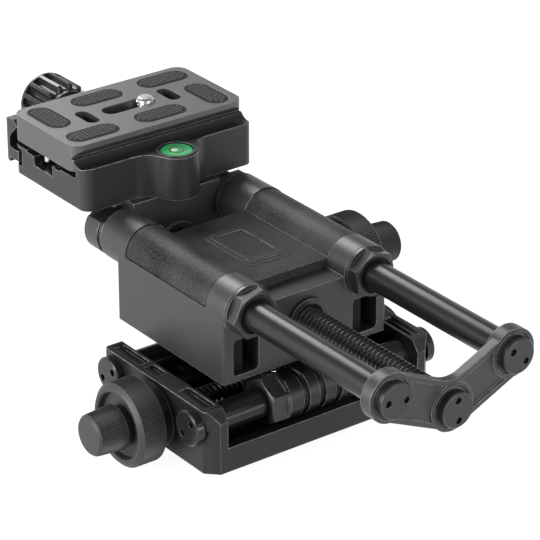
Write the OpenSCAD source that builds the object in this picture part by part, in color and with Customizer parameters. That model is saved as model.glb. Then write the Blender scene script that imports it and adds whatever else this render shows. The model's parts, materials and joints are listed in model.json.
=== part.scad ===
// Two-way focusing rail with a quick-release clamp.
// The origin is the mouth of the tripod socket, in the middle of the base's underside.
// +X runs right along the cross rods, +Y to the rear along the focusing rods, +Z up.

/* [Base] */
// Length of the base along the cross travel
base_l = 92; // [90:1:112]
// Width of the base from front to back
base_w = 63; // [60:1:76]
// Height of the end plates
base_h = 22.4; // [21.5:0.1:27]
// Thickness of an end plate
end_t = 7; // [6:0.5:8.5]
// Thickness of the floor
floor_t = 4.6; // [3.8:0.1:5]
// Height of the front and rear lips
lip_h = 8.7; // [6:0.1:9.5]
// Thickness of the front and rear lips
lip_t = 3.6; // [2.5:0.1:4.4]
// Chamfer of the vertical corners
corner_cut = 4; // [1:0.5:6]
// Length of the slope on top of an end plate
slope_run = 3; // [1:0.5:4]
// Height of the slope on top of an end plate
slope_drop = 4; // [1:0.5:5]
// Radius of the collar round the screw on the left plate
boss_r = 11; // [8:0.5:12]
// How far that collar stands out
boss_out = 4.1; // [2:0.1:6]
// Radius of the tripod socket
socket_r = 4; // [3:0.1:4.8]
// Radius of the two smaller sockets
side_socket_r = 2.6; // [2:0.1:3.2]
// Distance of the smaller sockets from the middle
side_socket_x = 22; // [15:1:28]

/* [Cross stage] */
// Radius of the two lower rods
cross_rod_r = 5; // [4.2:0.1:6]
// Height of the lower rods
cross_rod_z = 15.3; // [14.5:0.1:16]
// Distance of a lower rod from the face of the base
cross_rod_in = 8.95; // [8.8:0.05:10.5]
// Radius of the lower screw
cross_screw_r = 3.5; // [3:0.1:4]
// Height of the lower screw
cross_screw_z = 9.9; // [9.5:0.1:11]
// Travel of the carriage to each side
cross_travel = 18; // [12:1:20]
// Space left at the end of the cross travel
cross_spare = 0.9; // [0.5:0.1:3]
// Half width of the carriage pad from front to back
pad_half = 14; // [12:0.5:15]

/* [Rod glands] */
// Width of a gland nut across its flats
gland_af = 15; // [13:0.5:15.5]
// Thickness of its flange
gland_flange = 1.2; // [0.8:0.1:2]
// Length of the hexagon on the lower rods
gland_low_l = 5.9; // [4:0.1:7]
// Length of the hexagon on the upper rods
gland_top_l = 4; // [3:0.1:6]
// Wall of a bush round a rod
bush_wall = 0.95; // [0.8:0.05:1.2]
// Length of a bush
bush_l = 11; // [6:0.5:12]

/* [Knobs] */
// Radius of an adjusting knob
knob_r = 14.5; // [13:0.5:15]
// Length of an adjusting knob
knob_l = 10.3; // [8:0.1:14]
// Radius of the dish in its face
dish_r = 11.3; // [9.5:0.1:12]
// Depth of that dish
dish_d = 2.5; // [1:0.1:4]
// Radius of a lock knob at its root
lock_root_r = 7.8; // [7:0.1:9]
// Radius of a lock knob at its end
lock_end_r = 7.1; // [6:0.1:8.5]
// How far a lock knob stands out of its adjusting knob
lock_out = 10.9; // [8:0.1:14]

/* [Body] */
// Width of the body
body_w = 66.5; // [64:0.5:80]
// Length of the body
body_l = 60.4; // [56:0.2:74]
// How far the body's middle lies behind the base's middle
body_mid = 9; // [5:0.5:12]
// Gap between the end plates and the body
body_gap = 2.6; // [2:0.1:4]
// Height from the body's underside to the rods
body_h = 25; // [24:0.1:30]
// Radius of the tubes
tube_r = 9; // [8.6:0.1:10]
// Length of the tubes behind the body
tube_tail = 9.6; // [6:0.1:14]
// How far the tubes' front rings stand out
ring_out = 0.4; // [0.2:0.1:1]
// Rounding of the body's vertical edges
body_edge_r = 1.2; // [0.5:0.1:3]
// Height of the rods over the focus screw
screw_drop = 11; // [9:0.1:12]
// Width of a front window
window_w = 10.1; // [7:0.1:12]
// Height of a front window
window_h = 12.9; // [8:0.1:13.5]
// Height of its sill
window_sill = 2.1; // [1.5:0.1:4]
// Depth of a front window
window_d = 23; // [8:1:23]

/* [Top cover] */
// Distance from the body's front to the cover
cover_in = 9.5; // [6:0.1:12]
// Distance from the body's back to the cover
cover_out = 5.3; // [3:0.1:8]
// Step between the tube and the cover
cover_step = 0.25; // [0.1:0.05:0.5]
// Wall of the cover
cover_t = 1.5; // [1:0.1:1.6]
// Height of the flat part over the rods
cover_rise = 3; // [2:0.1:4]
// Width of the raised panel
panel_w = 17; // [8:1:24]
// Length of the raised panel
panel_l = 27; // [10:1:36]
// Height of the raised panel
panel_h = 0.7; // [0.3:0.1:1.5]

/* [Drive] */
// Radius of the rotating nut
nut_r = 6.6; // [6.2:0.1:6.8]
// Radius of its bearing
bearing_r = 9.5; // [8.5:0.1:9.8]
// Length of its bearing
bearing_l = 6.8; // [5:0.1:7]
// Pitch radius of the bevel gears
gear_r = 10; // [9.4:0.1:10.4]
// Width of the bevel teeth along the axis
gear_face = 2.6; // [2:0.1:2.8]
// Number of teeth of a bevel gear
gear_teeth = 18; // [14:1:22]
// Radius of the drive shaft
shaft_r = 3; // [2.5:0.1:3.2]

/* [Focusing slide] */
// Radius of the upper rods
focus_rod_r = 5; // [4.2:0.1:5.2]
// Radius of the focus screw
focus_screw_r = 5; // [4.2:0.1:5.2]
// Travel of the slide
focus_travel = 62; // [50:1:75]
// Space left in front of the gland nuts at full travel
front_spare = 0.6; // [0.5:0.1:3]
// Gap between the tubes' ends and the rear bracket
rear_spare = 2.4; // [2:0.1:4]
// Thickness of the front bracket
bracket_t = 5.5; // [4:0.1:8]
// Radius of the front bracket's lobes
lobe_r = 9; // [8.2:0.1:10]
// Height of the valley over the screw
valley_rise = 9.7; // [9.2:0.1:10.4]
// Width of the raised rim
rim_w = 1.1; // [0.8:0.1:1.6]
// Depth of the recessed panels
rim_d = 0.8; // [0.4:0.1:1.5]
// Thickness of the rear bracket
rear_t = 7.5; // [6:0.1:10]
// Radius of the rear bracket's lobes
rear_lobe_r = 8.8; // [8:0.1:10]
// Height of the rear bracket's top over the rods
rear_rise = 7.4; // [6:0.1:7.5]
// Radius of the end caps
cap_r = 6.1; // [5.4:0.1:7]
// Thickness of the end caps
cap_t = 3; // [2:0.1:4.5]
// Distance between the two small holes of a cap
cap_holes = 7; // [5:0.1:8]

/* [Clamp] */
// Width of the clamp
clamp_w = 69.6; // [66:0.2:84]
// Distance from the rear bracket's front to the clamp's front
clamp_set = 3.5; // [3:0.1:5]
// Height of the clamp's underside over the rods
clamp_rise = 8.1; // [8:0.1:9.5]
// Height of the fixed jaw
clamp_h = 15.4; // [15:0.1:15.6]
// Rounding of the clamp's vertical corners
clamp_corner = 3.5; // [2:0.1:5]
// Radius of the level's tower
tower_r = 7.7; // [7.4:0.1:9]
// Rounding between the tower and the clamp's front
tower_blend = 8; // [5:0.5:12]
// Radius of the level's rim
level_r = 6.8; // [6.2:0.1:6.9]
// Width of the level's rim
level_wall = 0.9; // [0.6:0.1:1.2]
// Travel of the jaw
jaw_travel = 5; // [3:0.5:6]
// Radius of the clamp screw
clamp_screw_r = 3; // [2.5:0.1:3.2]
// Ridge radius of the clamp knob
grip_r = 10.4; // [9:0.1:12]
// Length of the clamp knob's grip
grip_l = 14.7; // [10:0.1:18]
// Number of flutes of the clamp knob
grip_flutes = 20; // [14:1:26]
// Length of the clamp knob's neck
neck_l = 12.5; // [8:0.1:16]

/* [Plate] */
// Length of the plate
plate_l = 70.4; // [66:0.2:84]
// Width of the plate
plate_w = 38.8; // [36:0.2:40]
// Thickness of the plate
plate_h = 9.4; // [8.6:0.1:11]
// Height of its lower edge
plate_edge = 1.6; // [1:0.1:2]
// Depth of its dovetail groove
plate_groove = 2.8; // [2:0.1:3]
// Rounding of its vertical corners
plate_corner = 4.5; // [2:0.1:6]
// Radius of the camera screw
camera_screw_r = 3.175; // [2.5:0.005:3.2]
// How far the camera screw stands out of the plate
camera_screw_out = 2.3; // [1.5:0.1:6]
// Half length of the centre slot
slot_half = 10.4; // [8:0.1:11]
// Length of a rubber pad
pad_l = 20; // [14:0.5:20.5]
// Width of a rubber pad
pad_w = 9; // [6:0.1:9.5]
// How far a rubber pad stands out of the plate
pad_out = 0.3; // [0.1:0.1:1]

/* [Clearances] */
// Radial clearance of what slides or turns
run = 0.05; // [0.02:0.01:0.08]
// Clearance of what is pressed or screwed on
fit = 0.02; // [0.01:0.01:0.05]
// Gap between pieces that pass each other
gap = 0.3; // [0.2:0.05:0.5]

/* [Hidden] */
$fn = 64;
// How far a cut runs past a face
eps = 0.5;
BLACK = "#242528";
DARK = "#3a3b3f";
GREY = "#6f7074";
STEEL = "#b9bbc0";
BRONZE = "#a8803f";
RUBBER = "#1a1a1a";
GREEN = "#7fd030";

// Base and cross stage
base_x = base_l / 2;
base_y = base_w / 2;
plate_in = base_x - end_t;
cross_rod_y = base_y - cross_rod_in;
housing_r = norm([base_y - lip_t - cross_rod_y, cross_rod_z - lip_h]) - gap;
housing_half = plate_in - cross_spare - cross_travel - gland_flange - gland_low_l;
pocket_d = min(1.5, base_h - cross_rod_z - cross_rod_r - 0.4);
low_knob_x = base_x + boss_out + gap;
nut_block = [6.5, 6, 5.1];

// Body
rod_x = body_w / 2 - tube_r;
body_low = base_h + body_gap;
rod_z = body_low + body_h;
screw_z = rod_z - screw_drop;
body_front = body_mid - body_l / 2;
body_back = body_mid + body_l / 2;
tube_back = body_back + tube_tail;
tube_front = body_front - ring_out;
body_floor = 2.6;
seam_z = rod_z - 0.6;
cover_y = [body_front + cover_in, body_back - cover_out];
cover_r = tube_r - cover_step;
core_r = cover_r - cover_t - run;
cavity_half = gear_r + 2.2;
cavity_y = [body_front + 2 + bearing_l, body_mid + gear_r + 1.5];
bolt_at = [8.5, 8];
bolt_low = 10;
window_wall = 3.3;

// Drive
bush_in = body_w / 2 - 7.2;
shaft_flange = 2.7;
top_knob_x = body_w / 2 + shaft_flange + fit + gap;

// Focusing slide
gland_front = tube_front - gland_flange - gland_top_l;
bracket_back = gland_front - front_spare - focus_travel;
bracket_front = bracket_back - bracket_t;
lobes = [[-rod_x, rod_z], [0, screw_z], [rod_x, rod_z]];
cap_turns = [-5, -86, -40];
valley_fall = rod_z - screw_z - valley_rise;
rear_front = tube_back + rear_spare;
rear_back = rear_front + rear_t;
rear_top = rod_z + rear_rise;
ring_reach = 1.2;

// Clamp
clamp_low = rod_z + clamp_rise;
clamp_front = rear_front + clamp_set;
jaw_top = clamp_low + clamp_h;
seat_h = 12.6;
fixed_lip = 5.6;
plate_low = clamp_low + seat_h;
plate_front = clamp_front + fixed_lip;
plate_y = plate_front + plate_w / 2;
plate_back = plate_front + plate_w;
plate_top = plate_low + plate_h;
groove_low = plate_low + plate_edge;
groove_mid = groove_low + plate_groove;
groove_top = groove_mid + plate_groove + 0.2;
bed_z = plate_low - 2.1;
wall_back = plate_back - 5.1;
lip_back = plate_back - 0.3;
jaw_in = plate_back + 2.6;
jaw_out = plate_back + 6.6;
jaw_high = groove_top - 1;
jaw_round = 4.5;
tongue = [clamp_low + 4.2, clamp_low + 7.9];
tongue_l = jaw_travel + 0.4;
clamp_screw_z = (tongue[0] + tongue[1]) / 2;
tower_y = clamp_front - 3.5;
shelf_half = 17.9;
shelf_l = 29;
shelf_back = clamp_front + shelf_l;
shelf_low = rod_z + 0.5;
clamp_bolts_at = [[10, clamp_front + 10], [10, clamp_front + 24]];
clamp_bolt_r = 2.5;
pin_r = 1.4;
pin_x = 24;
washer_t = 1;
grip_y = jaw_out + washer_t + fit + neck_l;

// Plate
stub_r = 6.4;
neck_r = camera_screw_r - 0.6;
clip_t = 0.7;
bore_top = plate_low + 4.8;
screw_x = slot_half - camera_screw_r - 0.175;
pads_at = [[-27.65, 7.3, 90], [-22.75, -12.3, 0], [4.9, -12.2, 0]];

// Box between two limits on each axis
module slab(x, y, z) {
    translate([x[0], y[0], z[0]])
        cube([x[1] - x[0], y[1] - y[0], z[1] - z[0]]);
}

// Round bar along X through the point at = [y, z]
module bar_x(x, at, r) {
    translate([x[0], at[0], at[1]]) rotate([0, 90, 0]) cylinder(h = x[1] - x[0], r = r);
}

// Round bar along Y through the point at = [x, z]
module bar_y(y, at, r) {
    translate([at[0], y[0], at[1]]) rotate([-90, 0, 0]) cylinder(h = y[1] - y[0], r = r);
}

// Round bar along Z through the point at = [x, y]
module bar_z(z, at, r) {
    translate([at[0], at[1], z[0]]) cylinder(h = z[1] - z[0], r = r);
}

// Ring along X
module ring_x(x, at, r, bore) {
    difference() {
        bar_x(x, at, r);
        bar_x([x[0] - eps, x[1] + eps], at, bore);
    }
}

// Ring along Y
module ring_y(y, at, r, bore) {
    difference() {
        bar_y(y, at, r);
        bar_y([y[0] - eps, y[1] + eps], at, bore);
    }
}

// What is drawn along +Z comes to point left, right, to the front or to the rear
module face_left(x, at) {
    translate([x, at[0], at[1]]) rotate([0, -90, 0]) children();
}

module face_right(x, at) {
    translate([x, at[0], at[1]]) rotate([0, 90, 0]) children();
}

module face_front(y, at) {
    translate([at[0], y, at[1]]) rotate([90, 0, 0]) children();
}

module face_rear(y, at) {
    translate([at[0], y, at[1]]) rotate([-90, 0, 0]) children();
}

// Outline in X and Z, made solid along Y
module plate_along_y(y) {
    translate([0, y[1], 0]) rotate([90, 0, 0]) linear_extrude(y[1] - y[0]) children();
}

// Outline in Y and Z, made solid along X
module plate_along_x(x) {
    translate([x[0], 0, 0]) rotate([90, 0, 90]) linear_extrude(x[1] - x[0]) children();
}

module round_rect(size, r) {
    square([size[0] - 2 * r, size[1]], center = true);
    square([size[0], size[1] - 2 * r], center = true);
    for (x = [-1, 1], y = [-1, 1])
        translate([x * (size[0] / 2 - r), y * (size[1] / 2 - r)]) circle(r);
}

// Slot outline of the given full length and width, long along X
module stadium(length, width) {
    square([length - width, width], center = true);
    for (x = [-1, 1]) translate([x * (length - width) / 2, 0]) circle(width / 2);
}

// End cap with two small blind holes in its face
module hole_cap(turn) {
    chamfer = 0.4;
    difference() {
        union() {
            cylinder(h = cap_t - chamfer, r = cap_r);
            translate([0, 0, cap_t - chamfer])
                cylinder(h = chamfer, r1 = cap_r, r2 = cap_r - chamfer);
        }
        rotate(turn)
            for (s = [-1, 1])
                translate([s * cap_holes / 2, 0, cap_t - 1.6]) cylinder(h = 2, r = 1);
    }
}

// Gland nut: a round flange, a chamfered hexagon and a recess for the wiper
module gland_nut(flange_r, hex_l, rod_r, turn) {
    total = gland_flange + hex_l;
    end_r = gland_af / 2 - 0.2;
    difference() {
        union() {
            cylinder(h = gland_flange, r = flange_r);
            intersection() {
                rotate(turn) cylinder(h = total, r = gland_af / 2 / cos(30), $fn = 6);
                cylinder(h = total, r1 = end_r + total / tan(30), r2 = end_r);
            }
        }
        translate([0, 0, -eps]) cylinder(h = total + 2 * eps, r = rod_r + gap);
        translate([0, 0, total - 1.7]) cylinder(h = 2, r = rod_r + 1.3);
    }
}

// Soft ring in the recess of a gland nut
module wiper(hex_l, rod_r) {
    total = gland_flange + hex_l;
    difference() {
        translate([0, 0, total - 1.7 + fit]) cylinder(h = 1.2, r = rod_r + 1.3 - fit);
        cylinder(h = total, r = rod_r + run);
    }
}

// Adjusting knob along +Z, its dished face at the far end
module adjust_knob(bore) {
    back = 0.6;
    front = [1.4, 1];
    rotate_extrude()
        polygon([
            [bore, 0], [knob_r - back, 0], [knob_r, back], [knob_r, knob_l - front[1]],
            [knob_r - front[0], knob_l], [dish_r, knob_l], [dish_r, knob_l - dish_d],
            [bore, knob_l - dish_d]
        ]);
}

// Lock knob along +Z from the floor of the dish, with a blind bore
module lock_knob(bore) {
    total = dish_d - gap + lock_out;
    neck = [lock_root_r - 1.2, dish_d - gap - 0.4];
    edge = 0.8;
    rotate_extrude()
        polygon([
            [bore, 0], [neck[0], 0], neck, [lock_root_r, neck[1] + 0.8],
            [lock_end_r, total - edge], [lock_end_r - edge, total], [0, total],
            [0, total - 2.8], [bore, total - 2.8]
        ]);
}

// Bevel gear along +Z: a disc, then a cone that narrows towards the meeting point
module bevel_gear(bore, disc_l) {
    back_r = gear_r - gap / 2;
    tip_r = back_r - gear_face;
    groove = [3 * gear_face, 1.5, 2.4];
    difference() {
        union() {
            cylinder(h = disc_l, r = back_r);
            translate([0, 0, disc_l]) cylinder(h = gear_face, r1 = back_r, r2 = tip_r);
        }
        translate([0, 0, -eps]) cylinder(h = disc_l + gear_face + 2 * eps, r = bore);
        for (i = [0 : gear_teeth - 1])
            rotate(i * 360 / gear_teeth)
                translate([(back_r + tip_r) / 2, 0, disc_l + gear_face / 2])
                    rotate([0, 45, 0]) cube(groove, center = true);
    }
}

module base_outline() {
    x = base_x;
    y = base_y;
    c = corner_cut;
    polygon([
        [-x + c, -y], [x - c, -y], [x, -y + c], [x, y - c],
        [x - c, y], [-x + c, y], [-x, y - c], [-x, -y + c]
    ]);
}

module base_side() {
    y = base_y;
    polygon([
        [-y, 0], [y, 0], [y, base_h - slope_drop], [y - slope_run, base_h],
        [-y + slope_run, base_h], [-y, base_h - slope_drop]
    ]);
}

// Shallow pocket in the top of an end plate, between two places on Y
module top_pocket(x, y, width) {
    translate([x, (y[0] + y[1]) / 2, base_h - pocket_d])
        linear_extrude(pocket_d + eps) round_rect([width, y[1] - y[0]], width / 3);
}

module base_frame() color(BLACK) {
    pocket_x = base_x - 4.1;
    far = base_y - slope_run - 0.6;
    difference() {
        union() {
            intersection() {
                linear_extrude(base_h) base_outline();
                plate_along_x([-base_x, base_x]) base_side();
            }
            intersection() {
                bar_x([-base_x - boss_out, -base_x + 1], [0, cross_screw_z], boss_r);
                slab([-base_x - boss_out, 0], [-base_y, base_y], [0, base_h]);
            }
        }
        slab([-plate_in, plate_in], [-base_y + lip_t, base_y - lip_t], [floor_t, base_h + eps]);
        slab([-plate_in, plate_in], [-base_y - eps, base_y + eps], [lip_h, base_h + eps]);
        for (y = [-1, 1])
            bar_x([-base_l, base_l], [y * cross_rod_y, cross_rod_z], cross_rod_r + fit);
        bar_x([-base_l, base_l], [0, cross_screw_z], cross_screw_r + 2 + fit);
        bar_z([-eps, floor_t + eps], [0, 0], socket_r);
        for (x = [-1, 1])
            bar_z([-eps, floor_t + eps], [x * side_socket_x, 0], side_socket_r);
        top_pocket(-pocket_x, [cross_screw_z - 0.9, far], 2.6);
        top_pocket(-pocket_x, [1.4, cross_screw_z], 1.6);
        top_pocket(-pocket_x, [-far + 2, -11], 2.6);
        top_pocket(pocket_x + 1.6, [-far + 2, -6.2], 2.4);
        top_pocket(pocket_x + 1.6, [6.2, far - 2], 2.4);
    }
}

module lower_screw_bushes() color(BRONZE)
    for (s = [-1, 1])
        ring_x(
            s < 0 ? [-base_x - boss_out, -plate_in] : [plate_in, base_x],
            [0, cross_screw_z], cross_screw_r + 2, cross_screw_r + run);

module lower_guide_rods() color(STEEL)
    for (y = [-1, 1])
        bar_x([-base_x, base_x], [y * cross_rod_y, cross_rod_z], cross_rod_r);

module lower_rod_caps() color(DARK)
    for (y = [-1, 1]) {
        face_left(base_x * -1 - fit, [y * cross_rod_y, cross_rod_z])
            hole_cap(y < 0 ? 135 : 125);
        face_right(base_x + fit, [y * cross_rod_y, cross_rod_z]) hole_cap(y * 40);
    }

module lower_lead_screw() color(STEEL)
    bar_x(
        [-low_knob_x - knob_l - lock_out + 3, base_x + gap + 4.8],
        [0, cross_screw_z], cross_screw_r);

module lower_screw_end_cap() color(BLACK)
    face_right(base_x + gap, [0, cross_screw_z])
        rotate_extrude()
            polygon([
                [cross_screw_r + fit, 0], [10.5, 0], [10.5, 4.2], [9.7, 5],
                [cross_screw_r + fit, 5]
            ]);

module lower_adjust_knob() color(BLACK)
    face_left(-low_knob_x, [0, cross_screw_z]) adjust_knob(cross_screw_r + fit);

module lower_lock_knob() color(BLACK)
    face_left(-low_knob_x - knob_l + dish_d - gap, [0, cross_screw_z])
        lock_knob(cross_screw_r + run);

// Grooves that leave three rings on a housing
module ring_grooves(at) {
    for (x = [-1, 1])
        difference() {
            bar_x([x * 4.4 - 1.1, x * 4.4 + 1.1], at, housing_r + 1);
            bar_x([x * 4.4 - 2, x * 4.4 + 2], at, housing_r - 1);
        }
}

module lower_carriage() color(BLACK) {
    half = housing_half;
    flat_z = cross_rod_z + housing_r - 0.9;
    web_low = floor_t + 2 * gap;
    difference() {
        union() {
            for (y = [-1, 1])
                difference() {
                    bar_x([-half, half], [y * cross_rod_y, cross_rod_z], housing_r);
                    ring_grooves([y * cross_rod_y, cross_rod_z]);
                    slab([-half - eps, half + eps], [-base_w, base_w], [flat_z, base_h * 2]);
                }
            slab([-half, half], [-cross_rod_y + 4, cross_rod_y - 4], [web_low, 20]);
            slab([-half, half], [-pad_half, pad_half], [web_low, body_low - fit]);
        }
        for (y = [-1, 1]) {
            bar_x([-half - eps, half + eps], [y * cross_rod_y, cross_rod_z], cross_rod_r + 0.6);
            for (x = [-1, 1])
                bar_x(
                    x < 0 ? [-half - eps, -half + bush_l] : [half - bush_l, half + eps],
                    [y * cross_rod_y, cross_rod_z], cross_rod_r + run + bush_wall + fit);
        }
        bar_x([-half - eps, half + eps], [0, cross_screw_z], cross_screw_r + 0.6);
        slab(
            [-nut_block[0] - fit, nut_block[0] + fit], [-nut_block[1] - fit, nut_block[1] + fit],
            [0, cross_screw_z + nut_block[2] + fit]);
        for (x = [-1, 1], y = [-1, 1])
            bar_z([bolt_low - eps, body_low + eps], [x * bolt_at[0], y * bolt_at[1]], 1.5 + fit);
    }
}

module lower_rod_bushes() color(BRONZE)
    for (y = [-1, 1], x = [-1, 1])
        ring_x(
            x < 0 ? [-housing_half, -housing_half + bush_l - fit]
                : [housing_half - bush_l + fit, housing_half],
            [y * cross_rod_y, cross_rod_z], cross_rod_r + run + bush_wall, cross_rod_r + run);

module lower_gland_nuts() color(DARK)
    for (y = [-1, 1]) {
        face_left(-housing_half - fit, [y * cross_rod_y, cross_rod_z])
            gland_nut(housing_r, gland_low_l, cross_rod_r, 0);
        face_right(housing_half + fit, [y * cross_rod_y, cross_rod_z])
            gland_nut(housing_r, gland_low_l, cross_rod_r, 0);
    }

module lower_rod_wipers() color(RUBBER)
    for (y = [-1, 1]) {
        face_left(-housing_half - fit, [y * cross_rod_y, cross_rod_z])
            wiper(gland_low_l, cross_rod_r);
        face_right(housing_half + fit, [y * cross_rod_y, cross_rod_z])
            wiper(gland_low_l, cross_rod_r);
    }

module lower_drive_nut() color(BRONZE)
    difference() {
        slab(
            [-nut_block[0], nut_block[0]], [-nut_block[1], nut_block[1]],
            [floor_t + 2 * gap, cross_screw_z + nut_block[2]]);
        bar_x([-nut_block[0] - 1, nut_block[0] + 1], [0, cross_screw_z], cross_screw_r + run);
    }

// Countersunk bolt along +Z, from its tip up to the face of its head
module flat_bolt(length, r, clear) {
    cylinder(h = length - r, r = r + clear);
    translate([0, 0, length - r]) cylinder(h = r, r1 = r + clear, r2 = 2 * r + clear);
}

module carriage_bolts() color(STEEL)
    for (x = [-1, 1], y = [-1, 1])
        translate([x * bolt_at[0], y * bolt_at[1], bolt_low])
            flat_bolt(body_low + body_floor - bolt_low - fit, 1.5, 0);

// Front window, with a wall that closes its left third some way in
module front_window(x) {
    low = body_low + window_sill;
    left = x - window_w / 2;
    difference() {
        plate_along_y([body_front - eps, body_front + window_d])
            translate([x, low + window_h / 2]) round_rect([window_w, window_h], 1.5);
        slab([left - 1, left + window_wall], [body_front + 3, body_mid], [low + 5, rod_z]);
    }
}

module main_body() color(BLACK)
    difference() {
        union() {
            translate([0, body_mid, body_low])
                linear_extrude(body_h - 0.2) round_rect([body_w, body_l], body_edge_r);
            for (x = [-1, 1]) bar_y([tube_front, tube_back], [x * rod_x, rod_z], tube_r);
        }
        difference() {
            slab([-body_w, body_w], cover_y, [seam_z, rod_z + 2 * tube_r]);
            for (x = [-1, 1])
                bar_y([cover_y[0] - eps, cover_y[1] + eps], [x * rod_x, rod_z], core_r);
        }
        slab([-cavity_half, cavity_half], cavity_y, [body_low + body_floor, rod_z + 10]);
        bar_y([body_front + 2, cavity_y[0] + eps], [0, screw_z], bearing_r + fit);
        bar_y([body_front - 2, body_back + 2], [0, screw_z], focus_screw_r + 1);
        bar_x([0, bush_in], [body_mid, screw_z], shaft_r + 0.4);
        bar_x([bush_in - fit, body_w], [body_mid, screw_z], shaft_r + run + 1.5 + fit);
        for (x = [-1, 1]) {
            bar_y([tube_front - 1, tube_back + 1], [x * rod_x, rod_z], focus_rod_r + 0.6);
            bar_y(
                [tube_front - 1, tube_front + bush_l], [x * rod_x, rod_z],
                focus_rod_r + run + bush_wall + fit);
            bar_y(
                [tube_back - bush_l, tube_back + 1], [x * rod_x, rod_z],
                focus_rod_r + run + bush_wall + fit);
            front_window(x * rod_x);
        }
        for (x = [-1, 1], y = [-1, 1])
            translate([x * bolt_at[0], y * bolt_at[1], bolt_low])
                flat_bolt(body_low + body_floor - bolt_low, 1.5, fit);
    }

module top_cover() color(BLACK) {
    y = [cover_y[0] + fit, cover_y[1] - fit];
    low = seam_z + run;
    top = rod_z + cover_rise;
    difference() {
        union() {
            for (x = [-1, 1])
                intersection() {
                    bar_y(y, [x * rod_x, rod_z], cover_r);
                    slab([-body_w, body_w], y, [low, rod_z + tube_r]);
                }
            slab([-rod_x + cover_r / 2, rod_x - cover_r / 2], y, [low, top]);
            translate([0, (y[0] + y[1]) / 2, top - eps]) {
                linear_extrude(panel_h / 2 + eps) round_rect([panel_w, panel_l], 2);
                linear_extrude(panel_h + eps) round_rect([panel_w - 3, panel_l - 3], 1.5);
            }
        }
        for (x = [-1, 1])
            bar_y([y[0] - eps, y[1] + eps], [x * rod_x, rod_z], core_r + run);
        translate([0, (y[0] + y[1]) / 2, top + panel_h - 0.4])
            linear_extrude(1) round_rect([panel_w - 6, panel_l - 6], 1);
    }
}

module upper_rod_bushes() color(BRONZE)
    for (x = [-1, 1], y = [[tube_front, tube_front + bush_l - fit], [tube_back - bush_l + fit, tube_back]])
        ring_y(y, [x * rod_x, rod_z], focus_rod_r + run + bush_wall, focus_rod_r + run);

module front_gland_nuts() color(DARK)
    for (x = [-1, 1])
        face_front(tube_front - fit, [x * rod_x, rod_z])
            gland_nut(tube_r - 0.1, gland_top_l, focus_rod_r, x < 0 ? 7 : -20);

module front_rod_wipers() color(RUBBER)
    for (x = [-1, 1])
        face_front(tube_front - fit, [x * rod_x, rod_z]) wiper(gland_top_l, focus_rod_r);

module screw_collar() color(DARK)
    ring_y([body_front - 1.5, body_front - fit], [0, screw_z], 7.9, focus_screw_r + 1);

module nut_bearing() color(STEEL)
    ring_y(
        [body_front + 2 + fit, body_front + 2 + bearing_l - fit],
        [0, screw_z], bearing_r, nut_r + run);

module rotating_nut() color(BRONZE) {
    gear_end = body_mid - gear_r + gear_face;
    difference() {
        union() {
            bar_y([body_front + 2.6, gear_end], [0, screw_z], nut_r);
            bar_y([cavity_y[0] + gap, cavity_y[0] + 1.8], [0, screw_z], nut_r + 1.8);
        }
        bar_y([body_front, gear_end + eps], [0, screw_z], focus_screw_r + run);
    }
}

module nut_bevel_gear() color(STEEL)
    face_rear(body_mid - gear_r - 2, [0, screw_z]) bevel_gear(nut_r + fit, 2);

module drive_bevel_pinion() color(STEEL)
    face_left(gear_r + 1.6, [body_mid, screw_z]) bevel_gear(shaft_r + fit, 1.6);

module drive_shaft() color(STEEL)
    bar_x(
        [gear_r - gear_face + 0.2, top_knob_x + knob_l + lock_out - 3],
        [body_mid, screw_z], shaft_r);

module shaft_bush() color(BRONZE)
    face_right(bush_in, [body_mid, screw_z])
        rotate_extrude() {
            seat = body_w / 2 - bush_in + fit;
            sleeve = shaft_r + run + 1.5;
            polygon([
                [shaft_r + run, 0], [sleeve, 0], [sleeve, seat], [8, seat],
                [8, seat + shaft_flange - 0.5], [7.5, seat + shaft_flange],
                [shaft_r + run, seat + shaft_flange]
            ]);
        }

module upper_adjust_knob() color(BLACK)
    face_right(top_knob_x, [body_mid, screw_z]) adjust_knob(shaft_r + fit);

module upper_lock_knob() color(BLACK)
    face_right(top_knob_x + knob_l - dish_d + gap, [body_mid, screw_z])
        lock_knob(shaft_r + run);

module upper_guide_rods() color(DARK)
    for (x = [-1, 1]) bar_y([bracket_front, rear_back], [x * rod_x, rod_z], focus_rod_r);

module focus_lead_screw() color(STEEL)
    bar_y([bracket_front, rear_back], [0, screw_z], focus_screw_r);

// Radius of the valley's arc, which touches both outer lobes of radius r
function valley_radius(r) =
    (rod_x * rod_x + valley_fall * valley_fall - r * r) / (2 * (r + valley_fall));

// Direction square to the left arm, pointing down
arm_down = [-screw_drop, -rod_x] / norm([rod_x, screw_drop]);

// Underside of the two arms, from the right rod to the left one
function arm_points(r) = [
    lobes[2] + r * [-arm_down[0], arm_down[1]], lobes[1] + r * [-arm_down[0], arm_down[1]],
    lobes[1] + r * arm_down, lobes[0] + r * arm_down
];

// The front bracket's form between two places on Y, its edges moved in by inset
module vee_plate(y, inset) {
    r = lobe_r - inset;
    arc_r = valley_radius(lobe_r);
    arc_z = screw_z + valley_rise + arc_r;
    touch = [rod_x, rod_z] + r * [-rod_x, arc_z - rod_z] / (arc_r + lobe_r);
    difference() {
        union() {
            for (c = lobes) bar_y(y, c, r);
            plate_along_y(y)
                polygon(concat(
                    [[-touch[0], touch[1]], touch, lobes[2]], arm_points(r), [lobes[0]]));
        }
        bar_y([y[0] - 1, y[1] + 1], [0, arc_z], arc_r + inset);
    }
}

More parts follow.
